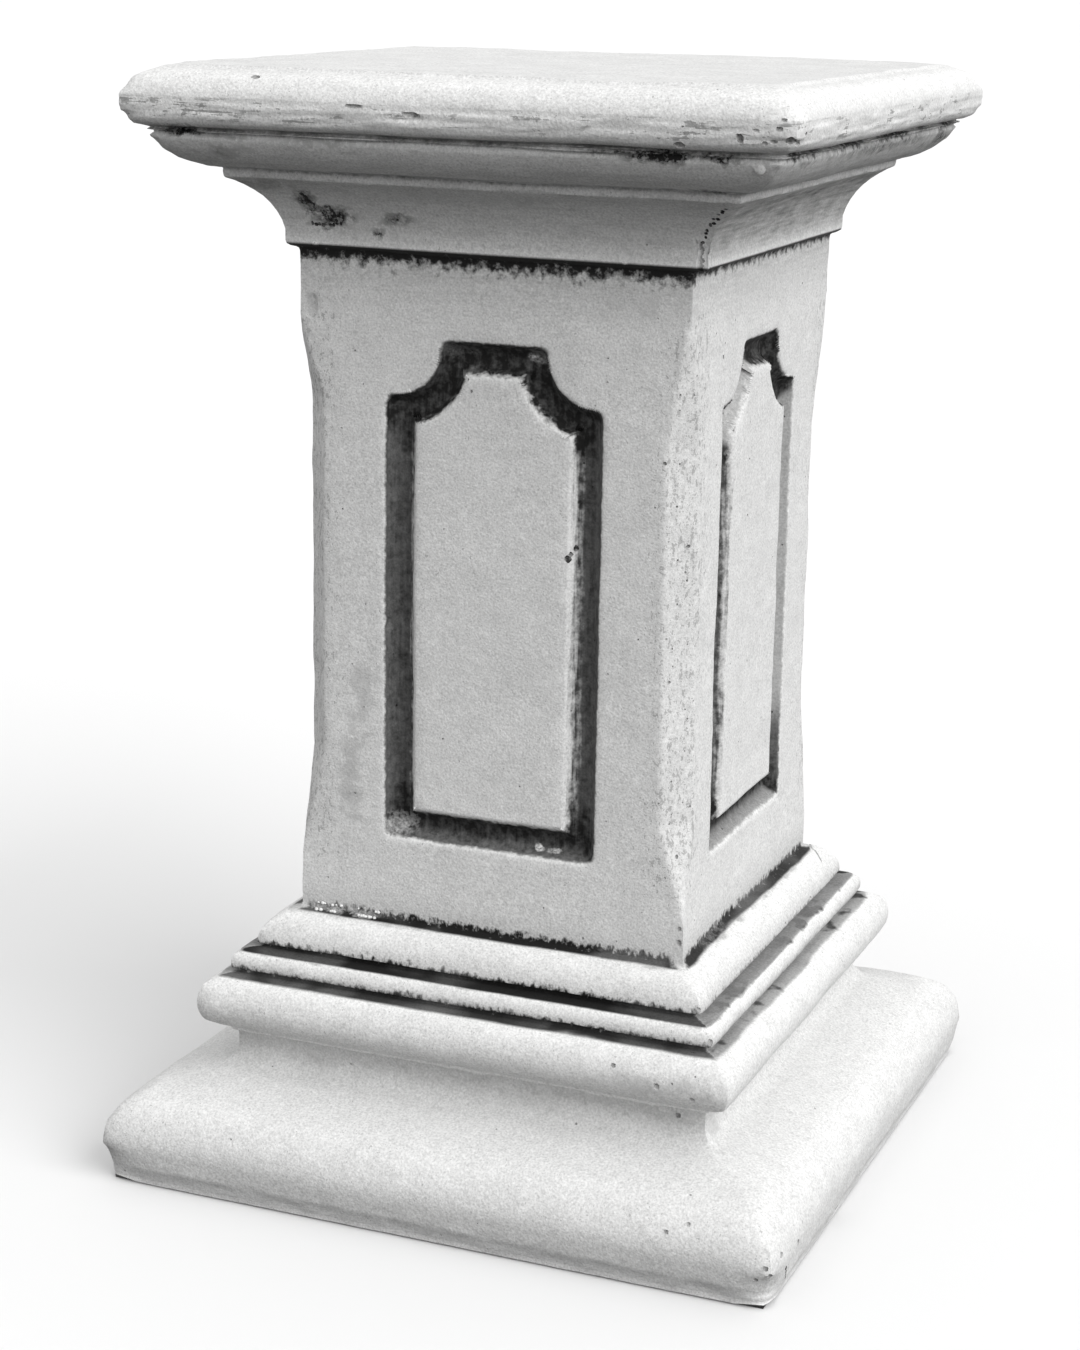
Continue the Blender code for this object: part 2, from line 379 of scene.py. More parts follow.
groove = groove_cutter()
PANEL_SHIFTS = [0.0, -0.005, 0.0, 0.0]
for quarter in range(4):
    bpy.ops.object.select_all(action="DESELECT")
    cutter = groove.copy()
    cutter.data = groove.data.copy()
    bpy.context.scene.collection.objects.link(cutter)
    only(cutter)
    cutter.location = (PANEL_SHIFTS[quarter], 0, 0)
    bpy.ops.object.transform_apply(location=True, rotation=True, scale=True)
    cutter.rotation_euler = (0, 0, quarter * math.pi / 2)
    bpy.ops.object.transform_apply(location=True, rotation=True, scale=True)
    cut_away(stone, cutter)
bpy.data.objects.remove(groove, do_unlink=True)
print("with panels:", len(stone.data.polygons), "faces")

# %% [markdown]
# ## Soft edges on the shaft
#
# The mouldings are soft already, because their profile was rounded before it was extruded. The
# edges of the chamfers and the panels are cut edges, so they get a bevel of their own width,
# through the bevel weight of the edge.

# %% Bevel by weight
WIDEST_BEVEL = 0.0030


def bevel_width(edge):
    """How wide this edge is rounded, in metres, by where it lies."""
    if len(edge.link_faces) != 2 or edge.calc_face_angle(0.0) < SHARP_ANGLE:
        return 0.0
    middle = (edge.verts[0].co + edge.verts[1].co) / 2
    on_mitre = all(abs(abs(v.co.x) - abs(v.co.y)) < 1e-5 for v in edge.verts)
    if on_mitre or not SHAFT_FOOT + 0.001 < middle.z < SHAFT_HEAD - 0.001:
        return 0.0
    at_face = max(abs(middle.x), abs(middle.y)) > SHAFT_HALF - 0.001
    return 0.0012 if at_face else 0.0018


def weigh_bevels(piece):
    """Writes the wanted widths on the edges, as shares of the widest."""
    shape = bmesh.new()
    shape.from_mesh(piece.data)
    layer = shape.edges.layers.float.new("bevel_weight_edge")
    for edge in shape.edges:
        edge[layer] = bevel_width(edge) / WIDEST_BEVEL
    shape.to_mesh(piece.data)
    shape.free()


def settle_order():
    """Numbers the points and faces by their distance from one odd spot, which steadies their order."""
    bpy.context.scene.cursor.location = (0.731, -1.117, 0.903)
    bpy.ops.mesh.select_all(action="SELECT")
    bpy.ops.mesh.sort_elements(type="CURSOR_DISTANCE", elements={"VERT", "EDGE", "FACE"})
    bpy.context.scene.cursor.location = (0.0, 0.0, 0.0)


only(stone)
bpy.ops.object.mode_set(mode="EDIT")
bpy.ops.mesh.select_all(action="SELECT")
bpy.ops.mesh.remove_doubles(threshold=0.00002)
settle_order()
bpy.ops.mesh.dissolve_limited(angle_limit=math.radians(0.3))
bpy.ops.object.mode_set(mode="OBJECT")
weigh_bevels(stone)
finish_modifier(
    stone, "BEVEL", width=WIDEST_BEVEL, segments=2, limit_method="WEIGHT", use_clamp_overlap=False)
print("with soft edges:", len(stone.data.polygons), "faces")

# %% [markdown]
# ## A grid to shape
#
# A flat face can't swell or sag. The sides are cut along evenly spaced planes, so that every
# patch of stone has points that can move a little. Only the sides that a plane should cut are left
# showing while it cuts.

# %% Cut the sides into a grid
GRID = 0.0047
GRID_REACH = 0.1575
FINE_RINGS = 0.0013


def cut_planes(piece, wanted, axis, start, end, spacing):
    """Cuts the faces for which wanted holds along planes square to the axis."""
    pick(piece, "faces", wanted)
    bpy.ops.mesh.hide(unselected=True)
    count = max(1, round((end - start) / spacing))
    for step in range(count + 1):
        place = start + (end - start) * step / count
        bpy.ops.mesh.select_all(action="SELECT")
        bpy.ops.mesh.bisect(
            plane_co=[place if index == axis else 0 for index in range(3)],
            plane_no=[1 if index == axis else 0 for index in range(3)])
    bpy.ops.mesh.reveal(select=False)


def sides_along(out, across):
    """A test for faces of the two sides that look along one axis more than along the other."""
    def wanted(face):
        middle = face.calc_center_median()
        return abs(middle[out]) >= abs(middle[across]) - 1e-5 and middle.z > 0.0005
    return wanted


def between(low, high):
    """A test for faces whose middle lies between two heights."""
    return lambda face: low < face.calc_center_median().z < high


only(stone)
bpy.ops.object.mode_set(mode="EDIT")
settle_order()
shaft_faces = between(SHAFT_FOOT - 0.0005, SHAFT_HEAD + 0.0005)
cut_planes(stone, shaft_faces, 2, SHAFT_FOOT + 0.003, SHAFT_HEAD - 0.003, GRID)
cut_planes(stone, between(0.4745, 0.4885), 2, 0.4756, 0.4872, FINE_RINGS)
cut_planes(stone, between(0.0010, 0.0170), 2, 0.0033, 0.0151, FINE_RINGS)
cut_planes(stone, sides_along(1, 0), 0, -GRID_REACH, GRID_REACH, GRID)
cut_planes(stone, sides_along(0, 1), 1, -GRID_REACH, GRID_REACH, GRID)
bpy.ops.mesh.select_all(action="SELECT")
bpy.ops.mesh.remove_doubles(threshold=0.00001)
settle_order()
bpy.ops.object.mode_set(mode="OBJECT")
print("grid:", len(stone.data.polygons), "faces,", len(stone.data.vertices), "points")

# %% [markdown]
# ## Uneven stone
#
# The mould was old and the paint thick, so every side undulates by about a millimetre, and the
# corners are blunt. Smooth and Displace modifiers do this. A vertex group says how much each
# point takes part, and is filled in code by the point's place.

# %% Groups by place


def weigh_points(piece, name, weights):
    """A vertex group whose weights are given for every point, rounded to hundredths."""
    group = piece.vertex_groups.new(name=name)
    steps = np.round(np.clip(weights, 0, 1) * 100).astype(int)
    for step in np.unique(steps):
        if step > 0:
            members = np.nonzero(steps == step)[0].tolist()
            group.add(members, step / 100, "REPLACE")
    return group


def cloud(name, size, depth=2):
    """A procedural cloud texture for a Displace modifier."""
    texture = bpy.data.textures.new(name, "CLOUDS")
    texture.noise_scale = size
    texture.noise_depth = depth
    return texture


def ramp(values, start, end):
    """0 before start and 1 after end, straight between."""
    return np.clip((values - start) / (end - start), 0, 1)


where = points_of(stone)
out_x, out_y, level = np.abs(where[:, 0]), np.abs(where[:, 1]), where[:, 2]
mitre_gap = np.abs(out_x - out_y)
shaft = ramp(level, 0.120, 0.124) * (1 - ramp(level, 0.419, 0.423))
standing = ramp(level, 0.0002, 0.002)
CORNERS = [
    # heights between which the corners are worn, how far in from the mitre, and how often smoothed
    ("slab_corners", 0.0002, 0.0500, 0.012, 12),
    ("foot_corners", 0.0002, 0.0150, 0.014, 30),
    ("torus_corners", 0.0450, 0.1215, 0.010, 6),
    ("arris_ends", 0.1212, 0.4222, 0.006, 3),
    ("fascia_corners", 0.4505, 0.4585, 0.010, 8),
    ("ovolo_corners", 0.4560, 0.4760, 0.014, 12),
    ("rim_corners", 0.4745, 0.5010, 0.017, 18),
]
for name, low, high, reach, times in CORNERS:
    here = ramp(level, low, low + 0.0010) * (1 - ramp(level, high - 0.0010, high))
    weigh_points(stone, name, here * (1 - ramp(mitre_gap, 0.25 * reach, reach)))
    finish_modifier(stone, "SMOOTH", factor=0.5, iterations=times, vertex_group=name)
slab_edge = ramp(level, 0.0050, 0.0070) * (1 - ramp(level, 0.0150, 0.0170))
weigh_points(stone, "slab_edge", slab_edge)
finish_modifier(stone, "SMOOTH", factor=0.5, iterations=16, vertex_group="slab_edge")
weigh_points(stone, "standing", standing)
rim_points = points_of(stone)[level > 0.4790]
rim_corner = np.max(rim_points[:, 0] - rim_points[:, 1]) / 2
print("rim corner worn to", round(1000 * rim_corner, 1), "mm")

# %% Swell and sag


def ruler(along, up):
    """An empty whose scale stretches a texture: along the sides, and up."""
    empty = bpy.data.objects.new("ruler", None)
    bpy.context.scene.collection.objects.link(empty)
    empty.scale = (along, along, up)
    bpy.context.view_layer.update()
    return empty


def push_by(texture, strength, mid_level, group, stretch=None):
    """A Displace modifier, through a vertex group. stretch gives a texture that runs along the sides."""
    settings = {"texture": texture, "strength": strength, "mid_level": mid_level, "vertex_group": group}
    if stretch:
        settings["texture_coords"] = "OBJECT"
        settings["texture_coords_object"] = ruler(*stretch)
    finish_modifier(stone, "DISPLACE", **settings)
    if stretch:
        bpy.data.objects.remove(settings["texture_coords_object"], do_unlink=True)


push_by(cloud("broad", 0.070), 0.0015, 0.70, "standing")
push_by(cloud("hand", 0.022), 0.0006, 0.60, "standing")
push_by(cloud("trowel", 0.0065), 0.00045, 0.50, "standing")

# %% [markdown]
# ## Layers in the rim, and a rough foot
#
# The rim's lower half was built up in thin coats that flaked, which left seams running along it.
# A cloud texture that is stretched along the sides and squeezed in height gives such layers. The
# foot was torn from the mould's base plate, so its lowest centimetre is rough.

# %% Layers and tears
rim_layers = ramp(level, 0.4760, 0.4790) * (1 - ramp(level, 0.4850, 0.4885))
foot_tears = ramp(level, 0.0003, 0.002) * (1 - ramp(level, 0.010, 0.0135))
weigh_points(stone, "rim_layers", rim_layers)
weigh_points(stone, "foot_tears", foot_tears)
push_by(cloud("layers", 1.0, 3), 0.0013, 0.62, "rim_layers", stretch=(0.030, 0.0024))
push_by(cloud("flakes", 0.0050, 2), 0.0008, 0.60, "rim_layers")
push_by(cloud("tears", 0.0080, 3), 0.0014, 0.60, "foot_tears")

# %% [markdown]
# ## A leaning arris
#
# The casting isn't true. The arris nearest the viewer leans: its head stands a few millimetres in
# and its foot a little out. Two Displace modifiers without a texture push it along X, each by its
# own vertex group. The planed arrises are also wavy, because they were rubbed down by hand.

# %% Lean and waver
LEAN_IN, LEAN_OUT = 0.0033, 0.0018
near = ramp(where[:, 0], 0.055, SHAFT_HALF) * ramp(-where[:, 1], 0.055, SHAFT_HALF)
on_shaft_now = ramp(level, 0.1212, 0.1214) * (1 - ramp(level, 0.4214, 0.4220))
lean = LEAN_OUT - 0.0051 * (level - 0.120) / 0.287
weigh_points(stone, "lean_in", near * on_shaft_now * np.clip(-lean / LEAN_IN, 0, 1))
weigh_points(stone, "lean_out", near * on_shaft_now * np.clip(lean / LEAN_OUT, 0, 1))
for group, strength in (("lean_in", -LEAN_IN), ("lean_out", LEAN_OUT)):
    finish_modifier(
        stone, "DISPLACE", direction="X", strength=strength, mid_level=0.0, vertex_group=group)
by_arris = 1 - ramp(np.abs(mitre_gap - 0.006), 0.008, 0.014)
arris = by_arris * ramp(level, 0.124, 0.135) * (1 - ramp(level, 0.405, 0.418))
weigh_points(stone, "arrises", arris * shaft)
push_by(cloud("rubbed", 0.020), 0.0011, 0.62, "arrises")
print("uneven:", [round(1000 * value, 1) for value in np.ptp(points_of(stone), axis=0)], "mm")

# %% [markdown]
# ## Chips and lumps
#
# Knocks broke the edges in a few places, and crumbs of mortar stuck in the joints. A chip is cut
# with a rock: a ball of triangles, squashed, turned and roughened by a cloud. A crumb is the same
# rock, joined on. Where each one sits was read off the photograph, in millimetres.

# %% Rocks
chance = random.Random(11)
# How dark the faces that each cutter leaves are painted: dirt, and painted shade deep in holes, chips and
# cracks; -1 is clean mortar.
DIRT_AND_HOLE_SHADE = {"stone_face": 0.0, "crumb": 0.0, "bead": -1.0, "bug_hole": 0.24, "chip": 0.42, "crack": 0.92}
marks = {name: bpy.data.materials.new(name) for name in DIRT_AND_HOLE_SHADE}
stone.data.materials.clear()
stone.data.materials.append(marks["stone_face"])


def rock(place, size, dirt_and_hole_shade, rough=0.35, grain=0.8, subdivisions=3):
    """A rough ball with these half sizes in metres at this place. Its material says how dark its cut is
    painted: dirt, and painted shade deep in the cut.
    """
    bpy.ops.object.select_all(action="DESELECT")
    bpy.ops.mesh.primitive_ico_sphere_add(subdivisions=subdivisions, radius=1.0)
    ball = bpy.context.object
    ball.data.materials.append(dirt_and_hole_shade)
    ball.rotation_euler = (6.3 * chance.random(), 6.3 * chance.random(), 6.3 * chance.random())
    bpy.ops.object.transform_apply(location=True, rotation=True, scale=True)
    finish_modifier(ball, "DISPLACE", texture=cloud("rock", grain), strength=rough, mid_level=0.5)
    ball.location = place
    ball.scale = size
    bpy.ops.object.transform_apply(location=True, rotation=True, scale=True)
    return ball


def rocks_at(table, proud, dirt_and_hole_shade, **shape):
    """A rock for each (middle, half sizes) in millimetres, with its middle and its reach in metres.

    Each middle is moved to the stone's surface, and then stands proud of it by a share of the rock's
    smallest half size, or lies below it where that share is negative.
    """
    bpy.context.view_layer.update()
    rocks = []
    for place_mm, size_mm in table:
        _, surface, normal, _ = stone.closest_point_on_mesh(Vector(place_mm) / 1000)
        middle = surface + normal * proud * min(size_mm) / 1000
        rocks.append((rock(middle, Vector(size_mm) / 1000, dirt_and_hole_shade, **shape), middle, 1.3 * max(size_mm) / 1000))
    return rocks


def heaps_of(rocks):
    """Sorts rocks into heaps in which no two touch, so that a whole heap can be one cutter."""
    heaps = []
    for piece, middle, reach in rocks:
        for heap in heaps:
            if all((middle - other).length > reach + far for _, other, far in heap):
                heap.append((piece, middle, reach))
                break
        else:
            heaps.append([(piece, middle, reach)])
    return heaps


def work_in(piece, balls, operation):
    """Joins the balls into one, and cuts it out of the piece or joins it on with its material."""
    bpy.ops.object.select_all(action="DESELECT")
    for ball in balls:
        ball.select_set(True)
    bpy.context.view_layer.objects.active = balls[0]
    bpy.ops.object.transform_apply(location=True, rotation=True, scale=True)
    bpy.ops.object.join()
    joined = bpy.context.object
    finish_modifier(
        piece, "BOOLEAN", object=joined, operation=operation, solver="MANIFOLD", material_mode="TRANSFER")
    bpy.data.objects.remove(joined, do_unlink=True)


def work_rocks(piece, rocks, operation):
    """Cuts the rocks out of the piece, or joins them on, one heap at a time."""
    for heap in heaps_of(rocks):
        work_in(piece, [ball for ball, _, _ in heap], operation)


# %% Where the stone is chipped
CHIPS = [
    # middle, half sizes
    ((144.5, -145.5, 482.0), (2.4, 2.4, 1.7)),
    ((140.5, -147.6, 484.4), (1.5, 1.1, 1.0)),
    ((145.6, -142.0, 479.0), (1.3, 1.8, 1.1)),
    ((138.0, -147.2, 479.4), (1.7, 1.2, 0.9)),
    ((131.0, -147.8, 483.5), (1.6, 0.9, 0.8)),
    ((142.0, -147.0, 487.6), (1.4, 1.1, 0.8)),
    ((134.6, -147.4, 478.6), (1.2, 1.0, 0.9)),
    ((146.6, -138.0, 482.6), (0.9, 1.3, 0.9)),
    ((124.9, -149.2, 479.8), (1.6, 2.2, 2.0)),
    ((100.0, -146.6, 476.2), (2.6, 2.2, 1.7)),
    ((-85.4, -143.6, 497.2), (2.2, 1.4, 1.2)),
    ((-13.0, -150.0, 483.0), (4.5, 1.4, 1.4)),
    ((-38.0, -149.8, 486.4), (4.2, 1.2, 0.9)),
    ((-126.8, -140.0, 474.0), (2.8, 2.0, 1.2)),
    ((-114.1, -142.6, 473.6), (2.6, 2.2, 1.2)),
    ((75.8, -129.0, 85.6), (1.2, 1.2, 1.0)),
    ((96.0, -129.8, 79.0), (1.6, 1.6, 1.6)),
    ((112.1, -129.0, 75.2), (1.3, 1.3, 1.1)),
    ((101.4, -115.4, 61.0), (1.3, 1.3, 1.3)),
    ((158.4, -162.4, 21.3), (1.3, 1.3, 1.2)),
    ((161.9, -150.0, 23.7), (1.4, 1.9, 1.2)),
    ((162.4, -127.4, 19.2), (1.3, 1.6, 1.3)),
    ((160.9, -162.3, 14.8), (1.5, 1.3, 1.4)),
    ((153.9, -162.5, 14.5), (1.1, 1.2, 1.0)),
    ((113.0, -160.4, 28.8), (1.1, 1.1, 1.0)),
    ((121.8, -157.9, 33.2), (1.1, 1.1, 1.0)),
    ((162.5, -60.0, 3.0), (2.0, 9.0, 2.4)),
    ((146.0, 148.5, 480.0), (5.0, 4.5, 4.0)),
    ((-149.2, 143.0, 478.0), (3.0, 5.5, 3.2)),
    ((91.5, -91.5, 131.0), (1.2, 1.2, 1.6)),
    ((91.5, -91.5, 137.5), (1.0, 1.0, 1.2)),
    ((116.8, -116.8, 98.0), (1.6, 1.6, 1.8)),
    ((109.0, -109.0, 108.5), (1.4, 1.4, 1.4)),
]
FLAKES = [((-86.5, -94.1, 397.5), (3.8, 1.1, 6.2))]
NICKS = [
    ((41.6, -90.4, 300.8), (2.2, 1.3, 1.4)),
    ((39.2, -92.0, 298.4), (1.6, 1.1, 1.2)),
    ((37.2, -92.6, 296.4), (1.9, 1.3, 1.7)),
]
work_rocks(stone, rocks_at(CHIPS, 0.15, marks["chip"], rough=0.7, grain=0.6), "DIFFERENCE")
work_rocks(stone, rocks_at(FLAKES, 0.2, marks["stone_face"], rough=0.5, grain=0.6), "DIFFERENCE")
work_rocks(stone, rocks_at(NICKS, 0.1, marks["crack"], rough=0.7, grain=0.6), "DIFFERENCE")
print("chips:", len(CHIPS), "and", len(stone.data.polygons), "faces")

# %% Crumbs and drips
LUMPS = [
    ((129.8, -138.6, 468.6), (2.4, 1.1, 3.0)),
    ((116.5, -112.0, 93.8), (1.8, 1.6, 1.2)),
    ((16.5, -85.4, 380.9), (2.6, 1.3, 1.5)),
    ((31.0, -86.0, 163.0), (1.6, 1.3, 0.9)),
    ((22.9, -86.0, 163.4), (1.2, 1.2, 0.9)),
    ((-28.0, -85.6, 161.8), (2.2, 1.2, 0.9)),
    ((55.0, -92.8, 122.4), (1.8, 1.3, 1.0)),
    ((-82.0, -97.2, 423.4), (1.6, 1.6, 1.2)),
    ((60.0, -96.8, 423.2), (1.4, 1.4, 1.0)),
]
BEADS = [(-84.0, -70.5, 17), (-68.0, -53.0, 13)]


def beads_along(start, end, count):
    """Tiny beads of mortar strewn along the foot of the shaft between two places, in millimetres."""
    table = []
    for bead in range(count):
        place = (chance.uniform(start, end), -94.0, chance.uniform(121.4, 123.6))
        size = chance.uniform(0.45, 0.95)
        table.append((place, (size, size, 0.9 * size)))
    return table


beads = [bead for start, end, count in BEADS for bead in beads_along(start, end, count)]
work_rocks(stone, rocks_at(LUMPS, -0.35, marks["crumb"], rough=0.5), "UNION")
work_rocks(stone, rocks_at(beads, 0.25, marks["bead"], rough=0.3, subdivisions=2), "UNION")
print("crumbs:", len(LUMPS) + len(beads), "and", len(stone.data.polygons), "faces")

# %% [markdown]
# ## A crack up the cap's near corner
#
# The two sides of the hollow under the cap parted slightly by their mitre. The crack is a chain of
# small deep holes that wanders down the front, beside the mitre. Three hairlines in the stained
# patch on the left of the same moulding, and one on the slab's right side, are made alike.

# %% Cracks


def crack_rocks(way_mm, holes, size_mm, wander_mm):
    """A row of small rocks along a way of points, each put off the line by a little."""
    way = [Vector(point) for point in way_mm]
    lengths = [(end - start).length for start, end in zip(way, way[1:])]
    table = []
    for hole in range(holes):
        run = sum(lengths) * (hole + 0.5) / holes
        leg = 0
        while run > lengths[leg] and leg < len(lengths) - 1:
            run -= lengths[leg]
            leg += 1
        place = way[leg].lerp(way[leg + 1], run / lengths[leg])
        off = Vector([chance.uniform(-1, 1) for axis in range(3)]) * wander_mm
        table.append((place + off, Vector([chance.uniform(0.6, 1.4) * size_mm for axis in range(3)])))
    return rocks_at(table, 0.0, marks["crack"], rough=0.5)


CRACKS = [
    # way, holes, half size, wander
    ([(107.5, -110.5, 449.6), (99.8, -103.8, 443.8), (95.4, -99.8, 438.0), (93.0, -97.1, 431.6),
      (92.4, -96.7, 424.6)], 17, 0.80, 1.0),
    ([(93.2, -97.2, 432.2), (93.0, -97.0, 431.4)], 1, 1.3, 0.1),
    ([(-84.0, -106.0, 446.2), (-82.4, -103.0, 442.8), (-80.0, -101.2, 440.4)], 6, 0.95, 0.5),
    ([(-74.6, -101.9, 441.4), (-71.3, -99.6, 437.6), (-70.8, -98.2, 434.0)], 6, 1.0, 0.5),
    ([(-84.0, -97.6, 432.8), (-76.7, -97.4, 432.4), (-68.5, -97.6, 433.4)], 9, 0.75, 0.3),
    ([(161.6, -144.6, 15.6), (161.9, -143.7, 11.9), (161.6, -142.4, 8.6)], 4, 0.7, 0.4),
]
holes = [hole for row in CRACKS for hole in crack_rocks(*row)]
work_rocks(stone, holes, "DIFFERENCE")
print("with cracks:", len(stone.data.polygons), "faces")

# %% [markdown]
# ## Bug holes
#
# Air bubbles against the mould leave small round holes in cast stone. Two balls, one finer than the
# other, are copied a few hundred times, each copy set in the surface, and all are cut out at once. All the
# cutters carry a material of their own, and a cut hands it to the walls it makes, so that the script can tell
# those faces apart afterwards and write in an attribute how dark they are painted: dirt, and painted shade
# deep in the holes.

# %% Bug holes
PIT_COUNT = 300
LARGE_PITS = 26
drawing = random.Random(7)
sizing = random.Random(8)


def surface_spots(piece, count, liking, apart):
    """Seeded spots on the piece as (place, normal), drawn by area and by liking(place)."""
    faces = [face for face in piece.data.polygons if face.area > 4e-6]
    totals = np.cumsum([face.area * liking(face.center, face.normal) for face in faces])
    spots = []
    taken = np.full((count, 3), 9.0)
    tries = 0
    while len(spots) < count and tries < 40 * count:
        tries += 1
        face = faces[int(np.searchsorted(totals, drawing.random() * totals[-1]))]
        shares = [drawing.random() for corner in face.vertices]
        corners = [share * piece.data.vertices[corner].co for share, corner in zip(shares, face.vertices)]
        place = np.array(sum(corners, Vector()) / sum(shares))
        if np.min(np.linalg.norm(taken - place, axis=1)) > apart:
            taken[len(spots)] = place
            spots.append((Vector(place), face.normal.copy()))
    return spots


def pit_liking(place, normal):
    """Holes crowd on the planed arris towards the viewer, and are rare on the mouldings."""
    if place.z < 0.001 or normal.z < -0.5:
        return 0.0
    if not SHAFT_FOOT < place.z < SHAFT_HEAD:
        return 0.35 if place.z < SHAFT_FOOT else 0.2
    near_chamfer = place.x > 0.074 and place.y < -0.078
    on_chamfer = near_chamfer and normal.x > 0.4 and normal.y < -0.4 and 0.15 < place.z < 0.40
    if on_chamfer:
        return 7.0
    return 2.0 if near_chamfer else 0.6


def make_pits(piece):
    """Cuts all the bug holes at once, the large ones first in the list, and gives their number."""
    spots = surface_spots(piece, PIT_COUNT, pit_liking, 0.0024)
    balls = []
    for order, (place, normal) in enumerate(spots):
        large = order < LARGE_PITS
        bpy.ops.object.select_all(action="DESELECT")
        if order in (0, LARGE_PITS):
            bpy.ops.mesh.primitive_ico_sphere_add(subdivisions=2 if large else 1, radius=1.0)
            ball = bpy.context.object
            ball.data.materials.append(marks["bug_hole"])
            balls.append(ball)
        else:
            ball = balls[-1].copy()
            ball.data = balls[-1].data.copy()
            bpy.context.scene.collection.objects.link(ball)
            balls.append(ball)
        size = sizing.uniform(0.0006, 0.00095) if large else sizing.uniform(0.0004, 0.0006)
        ball.rotation_mode = "QUATERNION"
        ball.rotation_quaternion = normal.to_track_quat("Z", "Y")
        ball.scale = (size * sizing.uniform(0.8, 1.3), size * sizing.uniform(0.8, 1.3), size * 1.5)
        ball.location = place - normal * size * 0.4
    work_in(piece, balls, "DIFFERENCE")
    return len(spots)


def mark_dirt_and_hole_shade(piece):
    """Writes how dark each face is painted, for dirt and painted shade in holes, chips and cracks, or -1 for
    clean mortar, from the material that its cutter left.
    """
    left = np.empty(len(piece.data.polygons), dtype=np.int32)
    piece.data.polygons.foreach_get("material_index", left)
    dirt_and_hole_shade = np.array([DIRT_AND_HOLE_SHADE[material.name] for material in piece.data.materials])[left]
    piece.data.attributes.new("dirt_and_hole_shade", "FLOAT", "FACE").data.foreach_set("value", dirt_and_hole_shade.astype(np.float32))
    piece.data.polygons.foreach_set("material_index", np.zeros_like(left))
    return int((dirt_and_hole_shade != 0).sum())


only(stone)
bpy.ops.object.mode_set(mode="EDIT")
settle_order()
bpy.ops.object.mode_set(mode="OBJECT")
print("bug holes:", make_pits(stone), "and dirty faces:", mark_dirt_and_hole_shade(stone))

# %% Back inside the solid's box
inside = np.clip(points_of(stone), np.array(solid_low), np.array(solid_high))
stone.data.vertices.foreach_set("co", inside.ravel())
stone.data.update()
triangles = sum(len(face.vertices) - 2 for face in stone.data.polygons)
print("now", len(stone.data.polygons), "faces,", triangles, "triangles")

# %% [markdown]
# ## The painted stone
#
# The finish is one material. A matt off-white paint covers everything. Over it, a dark wash was
# brushed on and wiped off again, so it stays only in the grooves of the panels and in the joints
# between mouldings, with ragged edges and brush streaks. The same dark colour also paints shade in
# some hollows and under some mouldings, and paler paint adds highlights on some edges. Such marks
# are arithmetic on masks, so a small class stands for a number in a node tree, and plus, minus and
# times add the Math nodes.

# %% Helpers for node trees


def feed(tree, node, feeds):
    """Sets a node's inputs to numbers, colours, sockets or amounts."""
    for key, value in feeds.items():
        value = getattr(value, "socket", value)
        if isinstance(value, bpy.types.NodeSocket):
            tree.links.new(value, node.inputs[key])
        else:
            node.inputs[key].default_value = value
    return node


def put(tree, kind, feeds=None, **settings):
    """Adds a node of this kind with these inputs and settings, and gives its outputs."""
    node = tree.nodes.new("ShaderNode" + kind)
    for name, value in settings.items():
        setattr(node, name, value)
    return feed(tree, node, feeds or {}).outputs


class Amount:
    """A number or vector in a node tree. Arithmetic on it adds the nodes that work out the result."""

    def __init__(self, tree, socket):
        self.tree = tree
        self.socket = socket

    def math(self, operation, *others, clamp=False):
        """One Math node that takes this amount and the others."""
        feeds = dict(enumerate((self, *others)))
        return Amount(self.tree, put(self.tree, "Math", feeds, operation=operation, use_clamp=clamp)[0])

    def __add__(self, other):
        return self.math("ADD", other)

    def __sub__(self, other):
        return self.math("SUBTRACT", other)

    def __rsub__(self, other):
        return Amount(self.tree, put(self.tree, "Math", {0: other, 1: self}, operation="SUBTRACT")[0])

    def __mul__(self, other):
        return self.math("MULTIPLY", other)

    def __abs__(self):
        return self.math("ABSOLUTE")

    def held(self):
        """The amount, kept between 0 and 1."""
        return self.math("ADD", 0.0, clamp=True)

    def rise(self, start, end):
        """0 to 1 as the amount goes from start to end, with soft ends."""
        feeds = {"Value": self, "From Min": start, "From Max": end}
        return Amount(self.tree, put(self.tree, "MapRange", feeds, interpolation_type="SMOOTHSTEP")["Result"])

    def fall(self, start, end):
        """1 to 0 as the amount goes from start to end."""
        return 1.0 - self.rise(start, end)

    def between(self, first, second):
        """A number between two, with this amount as the share of the second."""
        return Amount(self.tree, put(self.tree, "Mix", {0: self, 2: first, 3: second}, data_type="FLOAT")[0])

    def colour_between(self, first, second):
        """A colour between two, with this amount as the share of the second."""
        return put(self.tree, "Mix", {0: self, 6: first, 7: second}, data_type="RGBA")[2]


def most(first, *others):
    """The largest of some amounts."""
    for other in others:
        first = first.math("MAXIMUM", other)
    return first


def length(tree, vector):
    """How long a vector is."""
    return Amount(tree, put(tree, "VectorMath", {0: vector}, operation="LENGTH")["Value"])


def noise(tree, vector, scale, detail, rough):
    """A noise from 0 to 1 at this many patches to the metre."""
    feeds = {"Vector": vector, "Scale": scale, "Detail": detail, "Roughness": rough}
    return Amount(tree, put(tree, "TexNoise", feeds)["Fac"])


def new_group(name, inputs, outputs):
    """A node group that takes and gives these numbers, and what it is given, by name."""
    group = bpy.data.node_groups.new(name, "ShaderNodeTree")
    for socket in inputs:
        kind = "NodeSocketVector" if socket == "Vector" else "NodeSocketFloat"
        group.interface.new_socket(name=socket, in_out="INPUT", socket_type=kind)
    for socket in outputs:
        group.interface.new_socket(name=socket, in_out="OUTPUT", socket_type="NodeSocketFloat")
    given = group.nodes.new("NodeGroupInput").outputs
    return group, {name: Amount(group, given[name]) for name in inputs}


